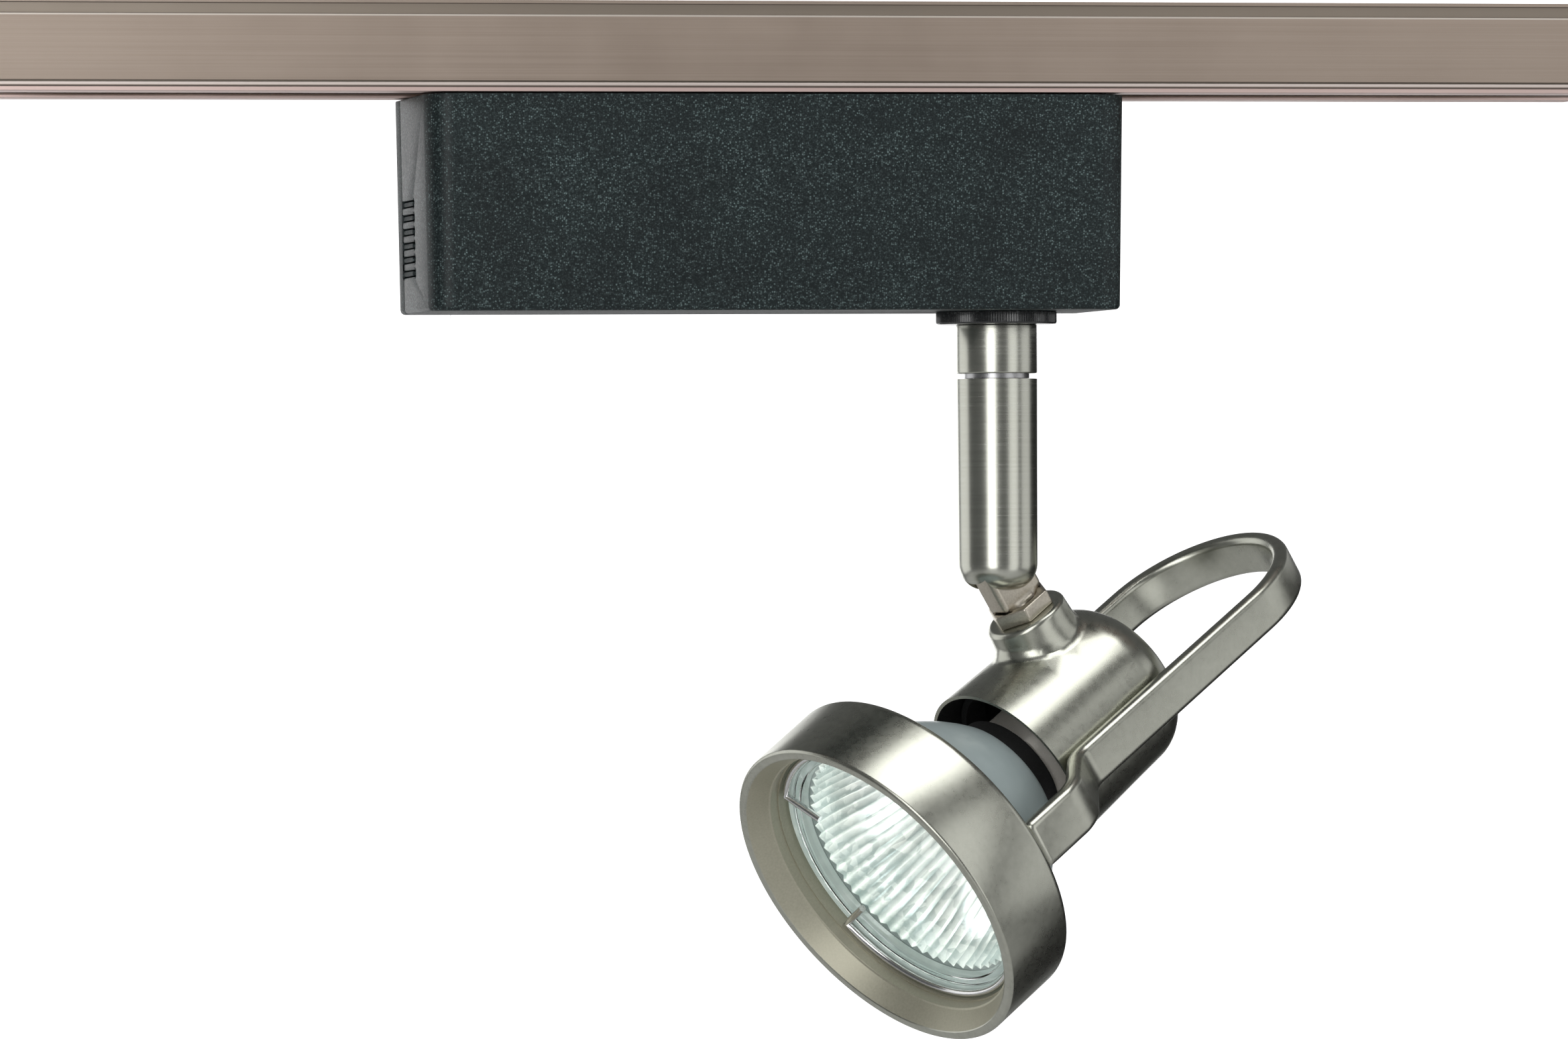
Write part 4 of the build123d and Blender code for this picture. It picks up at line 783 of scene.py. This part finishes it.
@dataclass
class LampHead:
    """The cast head: knuckle, cap, ring, and the arms that run back into a loop handle."""

    ring_radius: float = 30.0
    ring_mouth: float = 28.3
    ring_bore: float = 25.75
    ring_length: float = 15.2
    lip_radius: float = 24.0
    seat: float = 10.7
    strap_reach: float = 19.5
    strap_thick: float = 3.0
    strap_half_width: float = 3.7
    strap_start: float = 37.5
    strap_end: float = 84.0
    strap_drop: float = math.radians(0.6)
    strap_round: float = 1.3
    arm_half_width: float = 4.4
    arm_reach: float = 28.7
    arm_lean: float = 0.2
    arm_bend: float = 28.5
    bend_offsets: tuple[float, float] = (3.2, 1.6)
    taper_start: float = 28.0
    taper_length: float = 14.0
    tongue_edge: float = 1.0
    nut_edge: float = 0.35
    cap_inside: tuple[float, float, float] = (15.75, 35.1, 65.8)
    groove_front: float = 3.8
    groove_back: float = 5.6

    def build(self) -> None:
        """Build each casting, and dress the lampholder with its bracket and screws."""
        tongue = copy_of("knuckle_tongue").soften(self.tongue_edge, 5)
        tongue.finish("tongue", "head", Finish.KNUCKLE, ["knuckle_tongue"])
        nut = copy_of("knuckle_nut").soften(self.nut_edge)
        nut.finish("lock_nut", "head", Finish.KNUCKLE, ["knuckle_nut"])
        cap = copy_of("lamp_cap").finish("cap", "head", Finish.NICKEL, ["lamp_cap"])
        line_with(cap, Finish.LINER, *self.cap_inside)
        self.ring()
        self.handle()
        dress(Finish.LINER, "cap_liner")
        dress(Finish.CERAMIC, "lampholder")
        dress(Finish.BRIGHT, "holder_bracket")
        dress(Finish.STEEL, "holder_screws", "yoke_screws")

    def ring(self) -> None:
        """The turned ring round the lamp, with the steps and grooves of its bore."""
        r, bore, end = self.ring_radius, self.ring_bore, self.ring_length
        profile = [(self.ring_mouth, 0.0, 0.25), (r, 0.0, 0.6), (r, end, 1.4), (self.lip_radius, end, 0.4),
                   (self.lip_radius, self.seat), (bore, self.seat), (bore, self.groove_back),
                   (bore + 0.25, self.groove_back), (bore + 0.25, self.groove_front, 0.06),
                   (bore + 0.55, self.groove_front - 0.2, 0.06), (self.ring_mouth, 0.0)]
        shape = Shape().turn(profile, RING_STEPS)
        piece = shape.finish("ring", "head", Finish.NICKEL, ["lamp_ring"], head_datum().matrix())
        line_with(piece, Finish.BORE, self.ring_mouth - 0.1, -1.0, self.seat)

    def handle(self) -> None:
        """The arms and the loop handle, as one flat band bent round its route."""
        shape = Shape()
        mesh = shape.mesh
        chain = shape.path([(0, self.arm_reach, self.ring_length),
                            (0, self.arm_reach - self.arm_lean, self.arm_bend),
                            (0, self.strap_reach, self.strap_start), (0, self.strap_reach, self.strap_end)])
        for vertex, rounding in zip(chain[1:3], self.bend_offsets):
            bmesh.ops.bevel(mesh, geom=[vertex], offset=rounding * MM, segments=10, profile=0.5,
                            affect="VERTICES", material=-1)
        half = mesh.verts[:] + mesh.edges[:]
        bmesh.ops.mirror(mesh, geom=half, axis="Y", merge_dist=WELD)
        loop_height = self.strap_end * MM
        end = next(v for v in mesh.verts if v.co.y > 0 and abs(v.co.z - loop_height) < WELD)
        bmesh.ops.spin(mesh, geom=[end], cent=(0, 0, loop_height), axis=(1, 0, 0), angle=math.pi, steps=40)
        bmesh.ops.remove_doubles(mesh, verts=mesh.verts, dist=1e-6)
        bmesh.ops.translate(mesh, verts=mesh.verts, vec=(-self.arm_half_width * MM, 0, 0))
        raised = bmesh.ops.extrude_edge_only(mesh, edges=mesh.edges[:])["geom"]
        bmesh.ops.translate(mesh, verts=[v for v in raised if isinstance(v, bmesh.types.BMVert)],
                            vec=(2 * self.arm_half_width * MM, 0, 0))
        for vertex in mesh.verts:
            taper = min(max((vertex.co.z / MM - self.taper_start) / self.taper_length, 0), 1)
            taper = taper * taper * (3 - 2 * taper)
            half_width = self.arm_half_width + (self.strap_half_width - self.arm_half_width) * taper
            vertex.co.x *= half_width / self.arm_half_width
        dropped = Matrix.Rotation(-self.strap_drop, 3, "Y")
        bmesh.ops.rotate(mesh, verts=mesh.verts, cent=(0, 0, 0), matrix=dropped)
        bmesh.ops.recalc_face_normals(mesh, faces=mesh.faces)
        outward = sum(face.normal.y * face.calc_center_median().y for face in mesh.faces)
        if outward < 0:
            bmesh.ops.reverse_faces(mesh, faces=mesh.faces)
        bmesh.ops.solidify(mesh, geom=mesh.faces[:], thickness=self.strap_thick * MM)
        bmesh.ops.recalc_face_normals(mesh, faces=mesh.faces)
        shape.soften(self.strap_round, 6, math.radians(50))
        shape.finish("arms_and_handle", "head", Finish.NICKEL, ["yoke_handle"], head_datum().matrix())


@dataclass
class Lamp:
    """The reflector lamp: coated glass bowl, fluted inside, burner, cover glass and wire clip."""

    rim: float = 25.35
    front: float = 7.4
    rim_back: float = 10.4
    rim_bore: float = 24.2
    bowl_front: float = 10.65
    bowl_front_radius: float = 23.7
    neck_front: float = 32.05
    neck_back: float = 36.0
    neck_radius: float = 10.6
    neck_bore: float = 9.4
    flutes: int = 60
    flute_depth: float = 0.048
    flute_balance: float = 0.7
    flute_full_radius: float = 20.0
    clip_radius: float = 24.9
    clip_wire: float = 0.6
    clip_depth: float = 6.5
    clip_start: float = math.radians(-50.9)
    clip_sweep: float = math.radians(294.6)
    clip_leg: float = 7.5
    clip_steps: int = 96

    def build(self) -> None:
        """Build the lamp's pieces, and dress its base and pins."""
        self.bowl()
        self.flutes_inside()
        self.cover_glass()
        self.burner()
        self.clip()
        dress(Finish.CERAMIC, "lamp_base")
        dress(Finish.BRIGHT, "lamp_pins")

    def bowl(self) -> None:
        """The bowl's glass wall, with its rim, and its neck in painted shade."""
        rim = [(self.rim_bore, self.front), (self.rim, self.front, 0.3), (self.rim, self.rim_back, 0.4),
               (self.bowl_front_radius, self.bowl_front), (22.4, self.rim_back), (22.9, 9.7, 0.2),
               (self.rim_bore, 9.1), (self.rim_bore, self.front)]
        piece = Shape().turn(rim).finish("lamp_rim", "lamp", Finish.RIM_GLASS, (), head_datum().matrix())
        bowl = [(self.bowl_front_radius, self.bowl_front), (23.3, 13.2), (22.6, 16), (21.5, 19), (20.0, 22),
                (18.3, 24.9), (16.4, 27.6), (14.3, 30.0), (12.3, 32, 0.5), (self.neck_radius, 32),
                (self.neck_bore, 31), (14.6, 26.8), (18.6, 21.3), (21.4, 15.5), (22.4, self.bowl_front),
                (self.bowl_front_radius, self.bowl_front)]
        Shape().turn(bowl).finish("lamp_bowl", "lamp", Finish.LAMP_BACK, ["lamp_reflector"],
                                  head_datum().matrix())
        # The neck takes the matt black liner finish as painted shade: it stands for the shadow inside the cap's
        # mouth.
        neck = [(self.neck_radius, self.neck_front), (self.neck_radius, self.neck_back, 0.5),
                (self.neck_bore, self.neck_back), (self.neck_bore, self.neck_front),
                (self.neck_radius, self.neck_front)]
        piece = Shape().turn(neck).finish("lamp_neck_in_painted_shade", "lamp", Finish.LINER, (), head_datum().matrix())

    def flutes_inside(self) -> None:
        """The bright inside of the bowl, pressed into radial flutes that scallop its edge."""
        inside = [(22.0, 10.7), (21.6, 12.2), (21.0, 13.8), (20.2, 15.4), (19.2, 17.1), (17.9, 18.9),
                  (16.4, 20.9), (14.6, 22.9), (12.5, 24.9), (10.2, 27.0), (7.6, 28.8), (4.4, 29.6)]
        shape = Shape().turn(inside, 4 * self.flutes)
        layer = shape.mesh.verts.layers.float.new("flute")
        inward = shape.mesh.verts.layers.float.new("depth")
        for vertex in shape.mesh.verts:
            radius = vertex.co.xy.length
            wave = 0.5 + 0.5 * math.cos(math.atan2(vertex.co.y, vertex.co.x) * self.flutes)
            vertex[layer] = wave
            vertex[inward] = 1 - radius / (inside[0][0] * MM)
            fullness = min(1.0, radius / (self.flute_full_radius * MM))
            vertex.co.xy *= 1 + self.flute_depth * (wave - self.flute_balance) * fullness
        piece = shape.finish("lamp_flutes", "lamp", Finish.REFLECTOR, (), head_datum().matrix())

    def cover_glass(self) -> None:
        """The flat cover glass with its stepped rim."""
        profile = [(0, 7.75), (22.6, 7.75), (22.9, 7.45, 0.1), (24.1, 7.45, 0.2), (24.1, 8.9, 0.2), (0, 8.9)]
        Shape().turn(profile).finish("cover_glass", "lamp", Finish.FRONT_GLASS, ["lamp_front_glass"],
                                     head_datum().matrix())

    def burner(self) -> None:
        """The burner's quartz capsule."""
        profile = [(0, 17.0), (1.4, 17.3), (3.0, 18.6, 0.8), (4.1, 21.2, 0.8), (4.1, 29.0, 1.0),
                   (2.6, 31.0), (2.4, 33.4), (0, 33.4)]
        Shape().turn(profile, 48).finish("burner_capsule", "lamp", Finish.BURNER_GLASS, ["lamp_capsule"],
                                         head_datum().matrix())

    def clip(self) -> None:
        """The wire clip: an open ring whose two ends bend inwards."""
        route = bpy.data.curves.new("clip_route", "CURVE")
        route.dimensions = "3D"
        route.bevel_depth = self.clip_wire * MM
        route.bevel_resolution = 4
        route.use_fill_caps = True
        angles = [self.clip_start + self.clip_sweep * i / self.clip_steps for i in range(self.clip_steps + 1)]
        ring = [(self.clip_radius, angle) for angle in angles]
        legs = [self.clip_radius - self.clip_leg * k / 4 for k in (4, 3, 2, 1)]
        points = [(r, angles[0]) for r in legs] + ring + [(r, angles[-1]) for r in reversed(legs)]
        spline = route.splines.new("POLY")
        spline.points.add(len(points) - 1)
        for point, (radius, angle) in zip(spline.points, points):
            point.co = (radius * math.cos(angle) * MM, radius * math.sin(angle) * MM, self.clip_depth * MM, 1)
        holder = bpy.data.objects.new("clip_route", route)
        shape = Shape()
        shape.mesh.from_mesh(bpy.data.meshes.new_from_object(holder))
        bpy.data.objects.remove(holder)
        bmesh.ops.remove_doubles(shape.mesh, verts=shape.mesh.verts, dist=WELD)
        shape.finish("wire_clip", "clip", Finish.BRIGHT, ["retaining_clip"], head_datum().matrix())


# ---------------------------------------------------------------- studio
@dataclass(frozen=True)
class SoftBox:
    """A rectangular light: where it stands, how large it is and how bright its face is."""

    name: str
    azimuth: float
    elevation: float
    reach: float
    width: float
    height: float
    glow: float

    def build(self, target: Vector) -> None:
        """Hang the light so that it faces the lamp.

        Args:
            target: the point it faces.
        """
        turn, rise = math.radians(self.azimuth), math.radians(self.elevation)
        out = Vector((math.sin(turn) * math.cos(rise), -math.cos(turn) * math.cos(rise), math.sin(rise)))
        data = bpy.data.lights.new(self.name, "AREA")
        data.shape = "RECTANGLE"
        data.size, data.size_y = self.width, self.height
        data.energy = self.glow * math.pi * self.width * self.height
        light = bpy.data.objects.new(self.name, data)
        bpy.context.scene.collection.objects.link(light)
        facing = (-out).to_track_quat("-Z", "Y").to_matrix().to_4x4()
        light.matrix_world = Matrix.Translation(target + out * self.reach) @ facing


@dataclass
class Studio:
    """A pale floor, a white backdrop, soft boxes, a dark flag and the camera."""

    azimuth: float = math.radians(-11.5)
    distance: float = 1.65
    lens: float = 224.2
    roll: float = math.radians(-0.39)
    aim_left: float = 0.0361
    aim_height: float = -0.0863
    floor_height: float = -0.62
    floor_size: tuple[float, float] = (4.0, 4.0)
    backdrop_centre: tuple[float, float, float] = (0.30, 1.5, -0.08)
    backdrop_size: tuple[float, float] = (0.78, 0.62)
    flag_centre: tuple[float, float, float] = (0.55, 0.45, -0.52)
    flag_size: tuple[float, float] = (0.7, 1.1)
    ambient: tuple[float, float, float, float] = (0.12, 0.122, 0.122, 1.0)
    boxes: tuple[SoftBox, ...] = (
        SoftBox("key", -28.5, 5, 0.95, 0.40, 1.0, 3.2),
        SoftBox("top", 16, 70, 0.85, 0.55, 0.5, 3.5),
        SoftBox("right", 35, 4, 1.0, 0.5, 1.2, 1.1),
        SoftBox("far_right", 78, 8, 1.0, 0.6, 1.0, 0.7),
        SoftBox("left_rear", -125, 5, 1.0, 0.8, 1.0, 1.0),
        SoftBox("behind_left", -169, 3, 1.3, 0.34, 0.8, 2.0),
        SoftBox("right_rear", 125, 5, 1.0, 0.6, 0.7, 0.4),
    )

    def build(self) -> None:
        """Set up the world, the lights, the floor, the backdrop, the flag and the camera."""
        scene = bpy.context.scene
        scene.view_settings.view_transform = "Standard"
        world = bpy.data.worlds.new("studio")
        world.use_nodes = True
        world.node_tree.nodes["Background"].inputs[0].default_value = self.ambient
        scene.world = world
        target = stem_datum().origin + Vector((0, 0, self.aim_height))
        for box in self.boxes:
            box.build(target)
        pale, dark = self.plain("pale_card", 0.82, 0.0), self.plain("dark_card", 0.01, 0.0)
        white = self.plain("white_backdrop", 0.9, 1.0)
        self.card("floor", (0, 0.3, self.floor_height), self.floor_size, (0, 0, 1), pale)
        self.card("backdrop", self.backdrop_centre, self.backdrop_size, (0, -1, 0), white)
        self.card("flag_right", self.flag_centre, self.flag_size, (-1, 0, 0), dark)
        self.camera()

    def view_axes(self) -> tuple[Vector, Vector]:
        """The directions from the object back to the camera and to the picture's right."""
        back = Vector((math.sin(self.azimuth), -math.cos(self.azimuth), 0))
        right = Vector((math.cos(self.azimuth), math.sin(self.azimuth), 0))
        return back, right

    def camera(self) -> None:
        """A long lens in front and a little to the left, level with the stem."""
        back, right = self.view_axes()
        aim = stem_datum().origin - right * self.aim_left + Vector((0, 0, self.aim_height))
        data = bpy.data.cameras.new("camera")
        data.lens = self.lens
        data.sensor_width = 36
        data.clip_start = 0.05
        camera = bpy.data.objects.new("camera", data)
        bpy.context.scene.collection.objects.link(camera)
        turn = (-back).to_track_quat("-Z", "Y").to_matrix().to_4x4()
        stand = Matrix.Translation(aim + back * self.distance)
        camera.matrix_world = stand @ turn @ Matrix.Rotation(self.roll, 4, "Z")
        bpy.context.scene.camera = camera

    def plain(self, name: str, tone: float, glow: float) -> bpy.types.Material:
        """A matt card's material.

        Args:
            name: the material's name.
            tone: its grey.
            glow: how brightly it shines by itself.

        Returns:
            The material.
        """
        material, graph, shader = new_material(name)
        place = graph.add("ShaderNodeTexCoord").outputs["Object"]
        cloud = graph.add("ShaderNodeTexNoise", Vector=place, Scale=0.7).outputs[0]
        graph.feed(shader.inputs["Base Color"], graph.tint(cloud, (tone,) * 3, (tone * 1.04,) * 3))
        shader.inputs["Roughness"].default_value = 0.9
        shader.inputs["Emission Color"].default_value = (1, 1, 1, 1)
        shader.inputs["Emission Strength"].default_value = glow
        return material

    def card(self, name: str, centre: tuple, size: tuple, normal: tuple,
             material: bpy.types.Material) -> None:
        """A flat card of the studio.

        Args:
            name: the card's name.
            centre: its centre, in metres.
            size: its width and height.
            normal: the way that it faces.
            material: its material.
        """
        mesh = bmesh.new()
        bmesh.ops.create_grid(mesh, x_segments=1, y_segments=1, size=0.5)
        bmesh.ops.scale(mesh, vec=(*size, 1), verts=mesh.verts)
        facing = Vector(normal).to_track_quat("Z", "Y").to_matrix().to_4x4()
        bmesh.ops.transform(mesh, matrix=Matrix.Translation(centre) @ facing, verts=mesh.verts)
        data = bpy.data.meshes.new(name)
        mesh.to_mesh(data)
        mesh.free()
        data.materials.append(material)
        piece = bpy.data.objects.new(name, data)
        bpy.context.scene.collection.objects.link(piece)


def main() -> None:
    """Build the fixture and the studio."""
    logging.basicConfig(level=logging.INFO, format="%(name)s: %(message)s")
    for part in (Studio(), Track(), TransformerBox(), Stem(), LampHead(), Lamp()):
        part.build()
        log.info("%s built", type(part).__name__)


if __name__ == "__main__":
    main()
